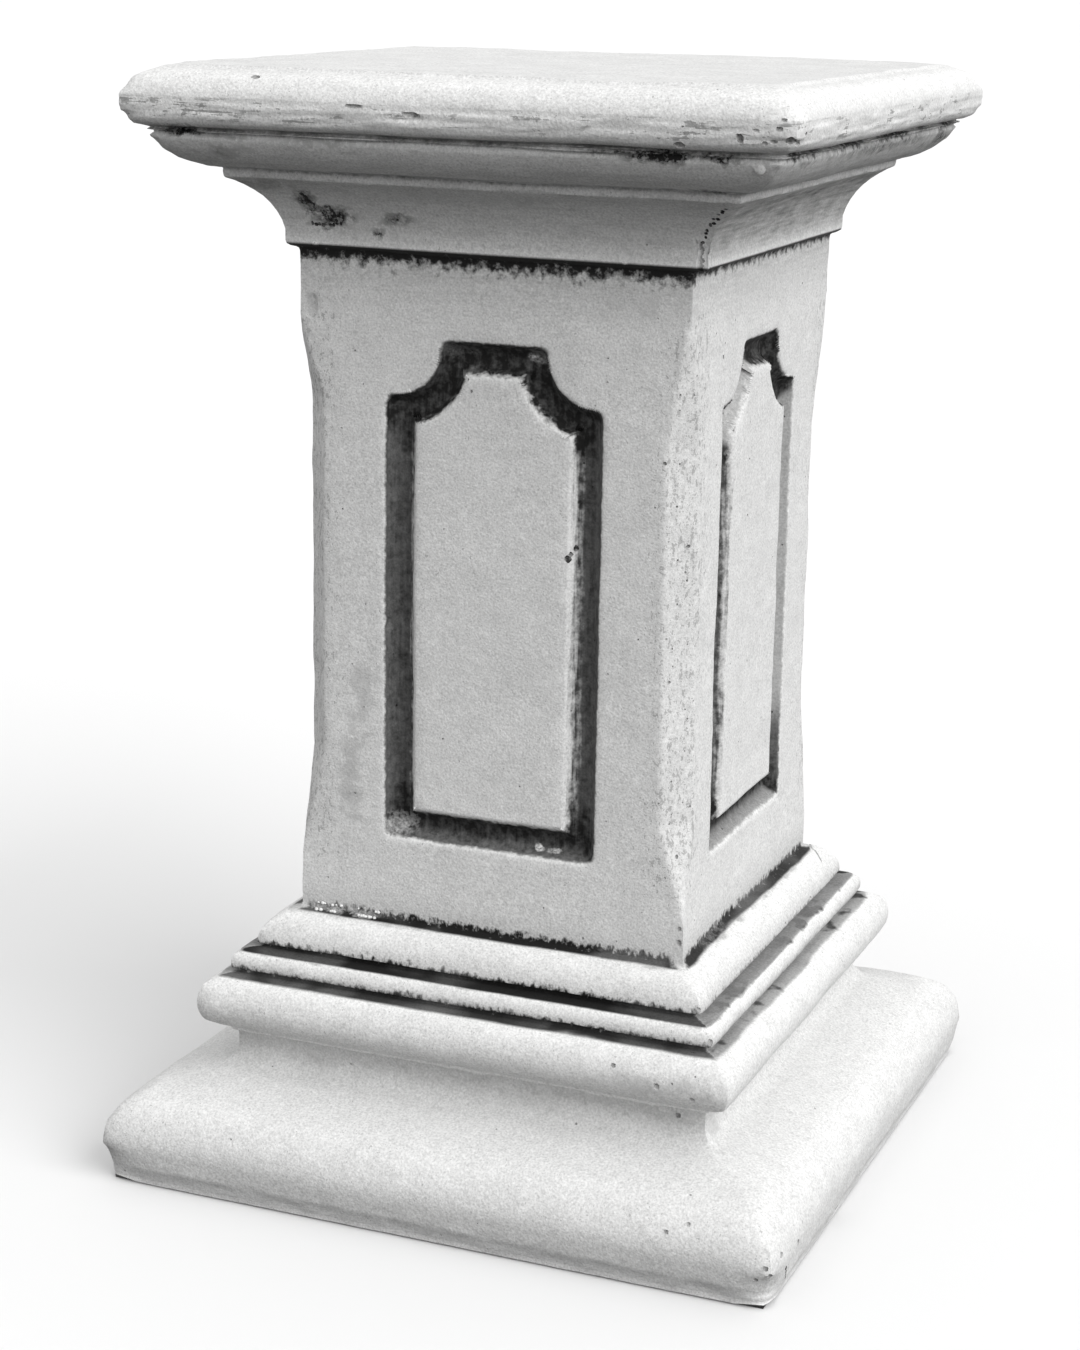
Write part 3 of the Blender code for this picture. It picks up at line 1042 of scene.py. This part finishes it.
def give(group, amounts):
    """Links a group's results to its output by name, and gives back the group."""
    feed(group, group.nodes.new("NodeGroupOutput"), amounts)
    return group


def put_group(tree, group, known):
    """Places a group, fed with those of the known amounts that it takes, and gives its results."""
    node = tree.nodes.new("ShaderNodeGroup")
    node.node_tree = group
    feed(tree, node, {socket.name: known[socket.name] for socket in node.inputs})
    return {socket.name: Amount(tree, socket) for socket in node.outputs}


# %% [markdown]
# ## Where a point of the stone lies
#
# The wash follows the mouldings and the panels, so the patterns need plain measures: the height,
# the way along the side from its middle, and the way from the mitre, all in millimetres. One node
# group works them out from the Object coordinates. The panel on the narrow side sits a little off
# the middle, which the group allows for.

# %% Measures at a point
PANEL_SHIFT_MM = 1000 * PANEL_SHIFTS[1]
MEASURES = ("Height", "Along", "From Mitre", "Narrow", "Far")


def places_group():
    """Height, way along the side, and way from the mitre, in millimetres.

    Narrow is 1 on the two sides square to X. Far is 1 on the half of the side at +X that lies away
    from the viewer.
    """
    group, spot = new_group("stone_places", ["Vector"], MEASURES)
    scaled = put(group, "VectorMath", {0: spot["Vector"], "Scale": 1000.0}, operation="SCALE")[0]
    x, y, height = [Amount(group, part) for part in put(group, "SeparateXYZ", {0: scaled})]
    out_from_x, out_from_y = abs(x), abs(y)
    narrow = out_from_x.math("GREATER_THAN", out_from_y)
    on_right = x.math("GREATER_THAN", out_from_y)
    from_middle = y - on_right * PANEL_SHIFT_MM
    along = narrow.between(out_from_x, abs(from_middle))
    from_mitre = abs(out_from_x - out_from_y)
    far = on_right * from_middle.math("GREATER_THAN", 0.0)
    return give(group, dict(zip(MEASURES, (height, along, from_mitre, narrow, far))))


places = places_group()
print("measures:", MEASURES)

# %% [markdown]
# ## The noises that the marks share
#
# Every ragged edge and every patch comes from a few noises. They are worked out once and handed to
# the groups that need them. Stretching the coordinates draws a noise out into upright brush marks
# or into streaks along the sides.

# %% Shared noises
NOISES = [
    # name, patches to the metre along the sides and up, detail, roughness
    ("Rags", 260, 260, 3.0, 0.65),
    ("Teeth", 480, 230, 2.0, 0.65),
    ("Brush", 400, 30, 2.0, 0.6),
    ("Patches", 28, 42, 2.0, 0.55),
    ("Streaks", 40, 560, 3.0, 0.65),
    ("Blotches", 75, 110, 2.0, 0.6),
    ("Grit", 950, 950, 1.0, 0.65),
]


def noises_group():
    """The shared noises, each from -0.5 to 0.5."""
    group, spot = new_group("shared_noises", ["Vector"], [row[0] for row in NOISES])
    noises = {}
    for name, along, up, detail, rough in NOISES:
        vector = put(group, "Mapping", {"Vector": spot["Vector"], "Scale": (along, along, up)})["Vector"]
        noises[name] = noise(group, vector, 1.0, detail, rough) - 0.5
    return give(group, noises)


shared_noises = noises_group()
print("noises:", [row[0] for row in NOISES])

# %% [markdown]
# ## Wash in the joints
#
# The dark wash was wiped along the mouldings. Each band has one firm edge, where the arris of the
# moulding stopped the rag, and one ragged edge that fades out. A band is a node group with those
# two heights, and it is placed once for each joint.

# %% One band of wash


def band_group():
    """1 at the firm height, fading to 0 about the loose height, whose edge is shifted by Ragged."""
    group, spot = new_group("wash_band", ["Height", "Firm", "Loose", "Ragged", "Reach", "Soft"], ["Band"])
    feeds = {"Value": spot["Height"], "From Min": spot["Firm"], "From Max": spot["Loose"]}
    way = Amount(group, put(group, "MapRange", feeds, clamp=False)["Result"])
    fade = (spot["Ragged"] * spot["Reach"] + way).fall(1.0 - spot["Soft"], 1.15)
    return give(group, {"Band": way.rise(-0.10, 0.05) * fade})


wash_band = band_group()

# %% All joints together
BASE_BELOW = 250.0
JOINTS = [
    # firm height, loose height on the wide sides and on the narrow ones in mm, reach of the rags,
    # softness, strength on the wide sides and on the narrow ones, patchiness, bare corner in mm
    (120.4, 125.0, 125.2, 1.5, 0.60, 1.00, 0.97, 0.12, (0.5, 6.0)),
    (102.9, 108.0, 107.6, 1.2, 0.50, 1.00, 0.68, 0.08, (-3.0, 1.5)),
    (92.0, 97.0, 96.6, 1.3, 0.55, 0.97, 0.62, 0.12, (-3.0, 1.5)),
    (67.3, 65.9, 65.9, 1.0, 0.80, 0.45, 0.30, 0.60, (2.0, 9.0)),
    (424.0, 414.6, 418.4, 1.9, 0.65, 1.00, 0.95, 0.0, (-9.0, -5.0)),
    (457.6, 455.4, 455.6, 2.4, 0.85, 0.52, 0.60, 0.50, (-5.0, 2.0)),
    (474.9, 471.6, 469.0, 2.4, 0.85, 0.62, 0.95, 0.60, (3.0, 12.0)),
]


def joint_wash_group():
    """How much wash the joints hold at a point. Its edges are toothed on the base and softer on the cap."""
    inputs = ["Height", "From Mitre", "Narrow", "Rags", "Teeth", "Patches"]
    group, spot = new_group("joint_wash", inputs, ["Amount"])
    rags = spot["Teeth"] * spot["Height"].math("LESS_THAN", BASE_BELOW) + spot["Rags"]
    corner_way = spot["Rags"] * 6.0 + spot["From Mitre"]
    worn = spot["Patches"].rise(-0.06, 0.12)
    bands = []
    for firm, wide, narrow, reach, soft, strong, right_strong, patchy, corner in JOINTS:
        loose = spot["Narrow"] * (narrow - wide) + wide
        known = {"Height": spot["Height"], "Firm": firm, "Loose": loose}
        known.update({"Ragged": rags, "Reach": reach, "Soft": soft})
        band = put_group(group, wash_band, known)["Band"]
        strength = spot["Narrow"] * (right_strong - strong) + strong
        bands.append(band * corner_way.rise(*corner) * (worn * -patchy + 1.0) * strength)
    return give(group, {"Amount": most(*bands)})


joint_wash = joint_wash_group()
print("joints with wash:", len(JOINTS))

# %% [markdown]
# ## Wash and painted shade in the grooves
#
# The groove runs round the panel at one width, so the finish is laid by the distance from its
# middle line: negative towards the field and positive towards the outside. The wall next to the
# field was wiped in streaks, and the floor and the outer wall kept the wash. Along the top, the
# notches and the bottom it is blackest and reaches up to the field: wash, and painted shade on the
# walls there that face down. On the narrow side the far groove's outer wall is rubbed grey, and the
# near notch is wiped.

# %% Groove wash
MIDDLE = 1000 * GROOVE_WIDTH / 2
MIDDLE_HALF = 1000 * PANEL_HALF - MIDDLE
MIDDLE_LOW = 1000 * PANEL_LOW + MIDDLE
MIDDLE_HIGH = 1000 * PANEL_HIGH - MIDDLE
MIDDLE_NOTCH = 1000 * NOTCH_RADIUS + MIDDLE
CORNER_SOFTNESS = 9.0


def groove_wash_and_shade_group():
    """How much wash a panel groove holds, with painted shade along its top, notches and bottom."""
    inputs = ["Height", "Along", "Narrow", "Far", "Rags", "Brush", "Blotches"]
    group, spot = new_group("groove_wash_and_shade", inputs, ["Amount"])
    height, along, rags, brush = (spot[name] for name in ("Height", "Along", "Rags", "Brush"))
    to_side = along - MIDDLE_HALF
    to_foot = MIDDLE_LOW - height
    ends = most(to_foot, height - MIDDLE_HIGH)
    from_notch = put(group, "CombineXYZ", {0: along - 1000 * NOTCH_ACROSS, 1: height - 1000 * NOTCH_UP})[0]
    to_notch = MIDDLE_NOTCH - length(group, from_notch)
    sharp = most(to_side, ends, to_notch)
    soft = to_side.math("SMOOTH_MAX", ends, CORNER_SOFTNESS).math("SMOOTH_MAX", to_notch, CORNER_SOFTNESS)
    middle = sharp + (soft - sharp) * sharp.rise(-2.0, 4.0)

    # Along the top, the notches and the bottom the wash is stronger and starts at the field's edge: wash, and
    # painted shade on the walls that face down.
    ends_wash_and_shade = (spot["Blotches"] * 40.0 + (most(ends, to_notch) - middle)).rise(-19.0, -1.0)
    at_foot = (to_foot - middle).rise(-2.0, 0.0)
    at_notch = (to_notch - middle).rise(-9.0, -4.0)
    near_half = spot["Narrow"] - spot["Far"]
    streaky = (middle + rags * 6.0 + brush * 7.0 + near_half * 1.8).rise(-6.8, -2.6)
    crisp = (middle + rags * 5.0).rise(-7.3, -5.2)
    start = ends_wash_and_shade.between(streaky, crisp)
    end = (middle + at_foot * 0.6 + rags * 2.4).fall(6.7, 8.0)

    faded = at_foot * middle.rise(-1.0, 7.0) * (spot["Narrow"] * 0.30 + 0.13)
    wiped = at_notch * near_half * middle.rise(2.0, -3.0)
    above_foot = (rags * 20.0 + height).rise(190.0, 212.0)
    rubbed_grey = above_foot * (ends - middle).fall(-4.0, 0.0) * middle.rise(0.0, 3.0) * spot["Far"]
    strength = ends_wash_and_shade * 0.10 + rags * 0.35 + brush * 0.20 + 0.875
    strength = strength - faded - wiped * 0.60 - rubbed_grey * (1.0 - at_notch) * 0.42
    return give(group, {"Amount": start * end * strength.held()})


groove_wash_and_shade = groove_wash_and_shade_group()
print("middle line of the groove:", MIDDLE_HALF, MIDDLE_LOW, MIDDLE_HIGH, MIDDLE_NOTCH, "mm")

# %% [markdown]
# ## Stains, a painted shadow and worn spots
#
# A few marks belong to one place: smears of the wash on the cap's mouldings, a patch of painted
# shade in the hollow under the lower torus at the near corner, and spots where the paint in the
# grooves is rubbed bare. Each is a ragged oval about a centre.

# %% Ragged ovals
STAINS_AND_SHADE = [
    # centre, half sizes, how dark
    ((96.0, -139.0, 471.6), (31.0, 9.0, 2.8), 0.85),
    ((-73.0, -99.0, 437.0), (14.0, 9.0, 7.0), 0.80),
    ((-77.0, -97.4, 432.9), (10.0, 6.0, 1.5), 0.72),
    ((-83.0, -104.0, 443.5), (8.0, 6.0, 5.6), 0.70),
    ((-42.0, -99.0, 436.6), (9.0, 6.0, 3.4), 0.64),
    ((-52.5, -97.0, 430.0), (4.4, 5.0, 2.4), 0.80),
    ((-97.0, -108.0, 449.5), (16.0, 8.0, 3.4), 0.42),
    ((-20.0, -106.0, 448.0), (70.0, 8.0, 4.0), 0.20),
    ((-124.0, -141.0, 473.0), (17.0, 8.0, 2.4), 0.97),
    ((-104.0, -141.0, 471.2), (12.0, 8.0, 1.6), 0.60),
    ((-62.0, -141.0, 471.0), (18.0, 8.0, 2.4), 0.45),
    ((-108.0, -132.0, 464.5), (14.0, 9.0, 3.6), 0.45),
    ((104.0, -141.0, 472.0), (26.0, 8.0, 3.0), 0.99),
    ((70.0, -141.0, 472.5), (16.0, 8.0, 1.6), 0.75),
    ((106.0, -122.0, 457.0), (22.0, 9.0, 1.3), 0.75),
    ((136.0, 112.0, 467.0), (12.0, 30.0, 6.0), 0.70),
    ((136.0, 20.0, 469.0), (12.0, 120.0, 3.2), 0.55),
    ((-67.0, -92.0, 190.0), (6.0, 8.0, 24.0), 0.22),
    ((-61.0, -92.0, 226.0), (5.0, 8.0, 16.0), 0.16),
    ((-86.0, -92.0, 396.0), (4.0, 5.0, 10.0), 0.16),
    ((70.0, -94.0, 408.0), (24.0, 8.0, 8.0), 0.16),
    ((96.0, -129.0, 78.0), (26.0, 8.0, 6.0), 0.16),
    # painted shade in the hollow under the lower torus, at the near corner
    ((119.0, -112.0, 57.0), (11.0, 15.0, 8.0), 0.30),
]
RUBBED = [
    # centre, half sizes, how bare
    ((-45.5, -86.0, 163.5), (9.0, 9.0, 7.0), 0.40),
    ((-20.5, -86.0, 383.5), (8.0, 9.0, 4.5), 0.12),
    ((20.0, -86.0, 381.5), (5.0, 9.0, 4.0), 0.25),
    ((16.5, -84.6, 380.9), (3.2, 3.0, 2.2), 0.90),
    ((31.0, -85.6, 163.2), (2.6, 3.0, 1.4), 0.85),
    ((22.9, -85.6, 163.5), (2.0, 3.0, 1.4), 0.85),
    ((-28.0, -85.4, 161.9), (3.0, 3.0, 1.4), 0.75),
    ((-70.0, -93.4, 122.4), (22.0, 3.0, 1.8), 0.60),
    ((100.0, -50.0, 122.0), (14.0, 14.0, 3.0), 0.25),
    ((130.0, -138.0, 468.0), (6.0, 5.0, 7.0), 0.80),
]


def ragged_oval(vector, ragged, centre, size, strength):
    """strength inside an oval about the centre with these half sizes in millimetres, 0 outside."""
    tree = ragged.tree
    metres = {"Location": Vector(centre) / 1000, "Scale": Vector(size) / 1000}
    share = put(tree, "Mapping", {"Vector": vector, **metres}, vector_type="TEXTURE")["Vector"]
    feeds = {"Value": length(tree, share) + ragged, "From Min": 1.15, "From Max": 0.45, "To Max": strength}
    return Amount(tree, put(tree, "MapRange", feeds)["Result"])


def ovals_group(name, table):
    """The strongest of a table of ragged ovals at a point."""
    group, spot = new_group(name, ["Vector", "Rags", "Blotches", "Grit"], ["Amount"])
    ragged = spot["Rags"] * 3.2 + spot["Blotches"] * 2.4
    mottle = spot["Rags"] * 4.0 + spot["Grit"] * 1.5 + 1.0
    strongest = most(*[ragged_oval(spot["Vector"], ragged, *row) for row in table])
    return give(group, {"Amount": (strongest * mottle).held()})


stains_and_shade = ovals_group("stains_and_shade", STAINS_AND_SHADE)
rubbed = ovals_group("rubbed_spots", RUBBED)
print("stains:", len(STAINS_AND_SHADE), "and rubbed spots:", len(RUBBED))

# %% [markdown]
# ## Grey films, painted shade and pale edges
#
# Besides the bands, a thin grey film of the wash stayed on the small ovolo under the cap and around
# each joint. The same grey is also painted shade: in the hollow under the lower torus and on the
# torus's underside, along the upright edge of the slab, on the top of the shaft under the neck, and
# in the cavetto, most of all on the narrow sides, where it stands partly for film and partly for
# shade. Some edges are paler than the rest: partly rubbed paint, partly a painted highlight along
# lit edges. The foot's lowest strip is painted paler, partly its rough pale surface and partly
# painted light against the shade on its downward face. All go by the height, so a colour ramp over
# the height holds them: one for the base and one for the cap.

# %% Films, painted shade and highlights by height
BASE_FILM_SHADE_AND_HIGHLIGHT = [
    # height in mm, film and painted shade on the wide sides and on the narrow ones, paleness and painted
    # highlight
    # From 0 to 5.5 mm the paleness is partly the foot's rough pale strip and partly painted light against the
    # shade on its downward face. From 9.5 to 17 mm and from 52 to 73 mm the grey is painted shade, partly
    # film, along the slab's upright edge, in the hollow under the lower torus and on the torus's underside.
    # Paleness at the lips and above the joints is partly rubbed paint and partly painted highlight.
    (0, 0, 0, 0.50), (5.5, 0, 0, 0.50), (9.5, 0.10, 0.05, 0.05), (13, 0.17, 0.10, 0), (17, 0.16, 0.10, 0),
    (23, 0, 0, 0), (38, 0, 0, 0), (52, 0.17, 0.10, 0), (61, 0.31, 0.20, 0), (64.2, 0.26, 0.14, 0),
    (64.9, 0.05, 0, 0.2), (66.4, 0.08, 0, 0.2), (68.5, 0.17, 0.10, 0), (73, 0.12, 0.06, 0), (80, 0, 0, 0),
    (89, 0, 0, 0.10), (92.2, 0, 0, 0.25), (93.2, 0.35, 0.72, 0), (97, 0.10, 0.22, 0), (99, 0.04, 0.08, 0.1),
    (102.6, 0, 0, 0.25), (103.6, 0.35, 0.68, 0), (107.5, 0.14, 0.20, 0), (111, 0.06, 0.06, 0),
    (117, 0, 0, 0.1), (119.8, 0, 0, 0.2), (120.8, 0.3, 0.35, 0), (125.5, 0.16, 0.20, 0),
    (131, 0.06, 0.09, 0), (139, 0, 0, 0),
]
CAP_FILM_SHADE_AND_HIGHLIGHT = [
    # From 396 to 421 mm the grey is painted shade on the shaft under the neck. From 427.5 to 452.8 mm it is
    # film and painted shade in the cavetto, stronger on the narrow sides. The paleness on the neck's edge,
    # the ovolo's lip and the rim is partly rubbed paint and partly painted highlight.
    (396, 0, 0, 0), (410, 0.12, 0.10, 0), (421, 0.20, 0.18, 0), (422.8, 0.1, 0.1, 0.1), (423.3, 0, 0, 0.45),
    (425.4, 0, 0, 0.40), (427.5, 0.06, 0.14, 0.05), (433, 0.14, 0.33, 0), (450, 0.13, 0.42, 0),
    (452.8, 0.17, 0.24, 0), (453.5, 0.04, 0.04, 0.4), (455.4, 0, 0, 0.40), (456.4, 0.16, 0.16, 0),
    (458.5, 0.15, 0.28, 0), (464, 0.09, 0.20, 0), (472, 0.11, 0.26, 0), (475.5, 0.03, 0.03, 0.1),
    (480, 0.02, 0.02, 0.2), (485, 0, 0, 0.2), (496, 0, 0, 0.1), (499, 0.09, 0.09, 0),
]


def height_ramp(height, rows):
    """A ramp over the height: red is the wide sides' film and painted shade, green the narrow ones', blue
    paleness and painted highlight.
    """
    low, high = rows[0][0], rows[-1][0]
    share = put(height.tree, "MapRange", {"Value": height, "From Min": low, "From Max": high})["Result"]
    color = put(height.tree, "ValToRGB", {0: share})["Color"]
    stops = color.node.color_ramp.elements
    stops[0].color = (*rows[0][1:], 1)
    stops[1].color = (*rows[-1][1:], 1)
    for at, *film in rows[1:-1]:
        stops.new((at - low) / (high - low)).color = (*film, 1)
    return color


def films_shade_and_highlights_group():
    """How much film and painted shade lie at a point, and how much paler the paint is there from rubbing and
    painted highlight. Their edges wander a little.
    """
    group, spot = new_group("films_shade_and_highlights", ["Height", "Narrow", "Blotches", "Streaks"], ["Film And Shade", "Pale And Highlight"])
    shifted = spot["Blotches"] * 5.0 + spot["Height"]
    on_cap = spot["Height"].math("GREATER_THAN", BASE_BELOW)
    both = on_cap.colour_between(height_ramp(shifted, BASE_FILM_SHADE_AND_HIGHLIGHT), height_ramp(shifted, CAP_FILM_SHADE_AND_HIGHLIGHT))
    wide, narrow, pale_and_highlight = [Amount(group, part) for part in put(group, "SeparateColor", {0: both})]
    uneven = spot["Streaks"] * on_cap * 3.0 + spot["Blotches"] * 1.8 + 1.0
    return give(group, {"Film And Shade": (spot["Narrow"].between(wide, narrow) * uneven).held(), "Pale And Highlight": pale_and_highlight})


films_shade_and_highlights = films_shade_and_highlights_group()
print("film stops:", len(BASE_FILM_SHADE_AND_HIGHLIGHT), "and", len(CAP_FILM_SHADE_AND_HIGHLIGHT))

# %% [markdown]
# ## Seams and specks
#
# The thin coats on the rim's lower half end in dark broken lines that run along it, and so do the
# brush streaks on the small ovolo below it. Grey specks crowd on the planed arrises, where the
# tool tore the surface, and are rare elsewhere.

# %% Seams and specks


def seams_group():
    """Dark broken lines along the rim's lower half and the ovolo under it."""
    group, spot = new_group("rim_seams", ["Height", "Streaks", "Patches", "Rags", "Blotches"], ["Amount"])
    height = spot["Height"]
    on_rim = height.rise(476.0, 479.5) * height.fall(485.5, 488.5)
    on_ovolo = height.rise(456.0, 457.0) * height.fall(468.0, 472.0)
    lines = (spot["Rags"] * 0.6 + spot["Streaks"]).rise(0.065, 0.11)
    broken = (spot["Blotches"] * 0.8 + spot["Patches"]).rise(-0.06, 0.06)
    return give(group, {"Amount": lines * broken * (on_ovolo * 0.40 + on_rim)})


def specks_group():
    """Small irregular specks, which crowd near the arrises of the shaft."""
    inputs = ["Height", "From Mitre", "Grit", "Rags", "Patches", "Teeth"]
    group, spot = new_group("paint_specks", inputs, ["Amount"])
    at_arris = (spot["Rags"] * 16.0 + spot["From Mitre"]).fall(10.0, 24.0)
    on_shaft = spot["Height"].rise(135.0, 165.0) * spot["Height"].fall(392.0, 415.0)
    crest = spot["Teeth"] * 0.8 + spot["Grit"] * 0.7 + spot["Rags"] * 0.3 + spot["Patches"] * 0.15
    return give(group, {"Amount": (crest + at_arris * on_shaft * 0.13).rise(0.19, 0.25)})


rim_seams = seams_group()
paint_specks = specks_group()

# %% The stone's material
# The dark wash colour is also the colour of painted shade, and the crust colour is dirt and painted shade
# deep in holes, chips and cracks.
PAINT = (0.745, 0.745, 0.74, 1)
WASH_AND_SHADE = (0.014, 0.0138, 0.0135, 1)
CRUST_AND_HOLE_SHADE = (0.045, 0.0445, 0.044, 1)
MORTAR = (0.86, 0.86, 0.855, 1)


def stone_material():
    """Off-white paint with the wash over it, painted shade and highlights, dirt and painted shade in the
    cuts, and a fine grain.
    """
    material = bpy.data.materials.new("whitewashed_stone")
    material.use_nodes = True
    tree = material.node_tree
    known = {"Vector": put(tree, "TexCoord")["Object"]}
    known.update(put_group(tree, places, known))
    known.update(put_group(tree, shared_noises, known))
    films_shade_and_light = put_group(tree, films_shade_and_highlights, known)
    groups = (joint_wash, groove_wash_and_shade, stains_and_shade, rubbed, rim_seams, paint_specks)
    amounts = [put_group(tree, group, known)["Amount"] for group in groups]
    joints, grooves, stained_and_shaded, bared, seams, specks = amounts
    # The darkening mixes wash and stains with painted shade from the films, the groove ends and one stain;
    # the paleness adds painted highlight.
    dark = most(joints, grooves, stained_and_shaded) * (1.0 - bared)
    wash = most(dark, films_shade_and_light["Film And Shade"], seams * 0.55, specks * 0.42).held()

    grain = known["Grit"] * 0.80 + known["Rags"] * 0.28 + known["Blotches"] * 0.22
    bright_and_highlight = grain + films_shade_and_light["Pale And Highlight"] * 0.30 + 1.0
    paint = wash.colour_between(PAINT, WASH_AND_SHADE)
    paint = put(tree, "VectorMath", {0: paint, "Scale": bright_and_highlight}, operation="SCALE")[0]
    # The faces of the cuts turn towards the crust colour, for dirt and painted shade deep in holes, chips and
    # cracks; crumbs of mortar turn paler.
    dirt_and_hole_shade = Amount(tree, put(tree, "Attribute", attribute_name="dirt_and_hole_shade")["Fac"])
    paint = (dirt_and_hole_shade * -0.9).held().colour_between(paint, MORTAR)
    dirt_and_shade_share = (dirt_and_hole_shade * (known["Rags"] * 4.0 + 1.0)).held()
    lumps = noise(tree, known["Vector"], 300.0, 2.0, 0.6)
    grit = noise(tree, known["Vector"], 1100.0, 1.0, 0.6)
    bump = put(tree, "Bump", {"Strength": 0.38, "Distance": 0.0012, "Height": lumps * 0.65 + grit * 0.35})
    feed(tree, tree.nodes["Principled BSDF"], {
        "Base Color": dirt_and_shade_share.colour_between(paint, CRUST_AND_HOLE_SHADE),
        "Roughness": wash * -0.10 + 0.92,
        "Metallic": 0.0,
        "Specular IOR Level": 0.12,
        "Normal": bump["Normal"],
    })
    return material


stone.data.materials.clear()
stone.data.materials.append(stone_material())
only(stone)
bpy.ops.object.shade_smooth_by_angle(angle=math.radians(38))
print("nodes in the stone's material:", len(stone.data.materials[0].node_tree.nodes))

# %% Hand the piece to the frame
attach(stone, "root")
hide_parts("pedestal")

# %% [markdown]
# ## Floor and light
#
# A photographer would stand the pedestal on pale paper under a big soft light. The sky part comes
# from the world, and one large softbox to the right makes the narrow side the brighter one.

# %% Floor, lights and world
bpy.ops.object.select_all(action="DESELECT")
bpy.ops.mesh.primitive_plane_add(size=90, location=(0, 0, 0))
floor = bpy.context.object
floor.name = "paper_floor"
floor_paint = bpy.data.materials.new("pale_paper")
floor_paint.use_nodes = True
floor_shader = floor_paint.node_tree.nodes["Principled BSDF"]
feed(floor_paint.node_tree, floor_shader, {"Base Color": (0.86, 0.86, 0.86, 1), "Roughness": 0.9})
floor.data.materials.append(floor_paint)
floor.visible_diffuse = False

SOFTBOX = Vector((0.80, -0.32, 0.55))
bpy.ops.object.light_add(type="SUN", location=SOFTBOX * 3)
softbox = bpy.context.object
softbox.name = "right_softbox"
softbox.data.angle = math.radians(50)
softbox.data.energy = 2.15
softbox.rotation_euler = SOFTBOX.to_track_quat("Z", "Y").to_euler()

sky = bpy.data.worlds.new("studio_sky")
sky.use_nodes = True
direction = put(sky.node_tree, "TexCoord")["Generated"]
upward = put(sky.node_tree, "SeparateXYZ", {0: direction})["Z"]
feeds = {"Value": upward, "From Min": -0.10, "From Max": 0.10, "To Min": 0.04, "To Max": 0.85}
brightness = put(sky.node_tree, "MapRange", feeds)["Result"]
feed(sky.node_tree, sky.node_tree.nodes["Background"], {"Color": (1, 1, 1, 1), "Strength": brightness})
bpy.context.scene.world = sky
bpy.context.scene.view_settings.view_transform = "Standard"
bpy.context.scene.view_settings.look = "None"
print("floor, softbox and sky are set")
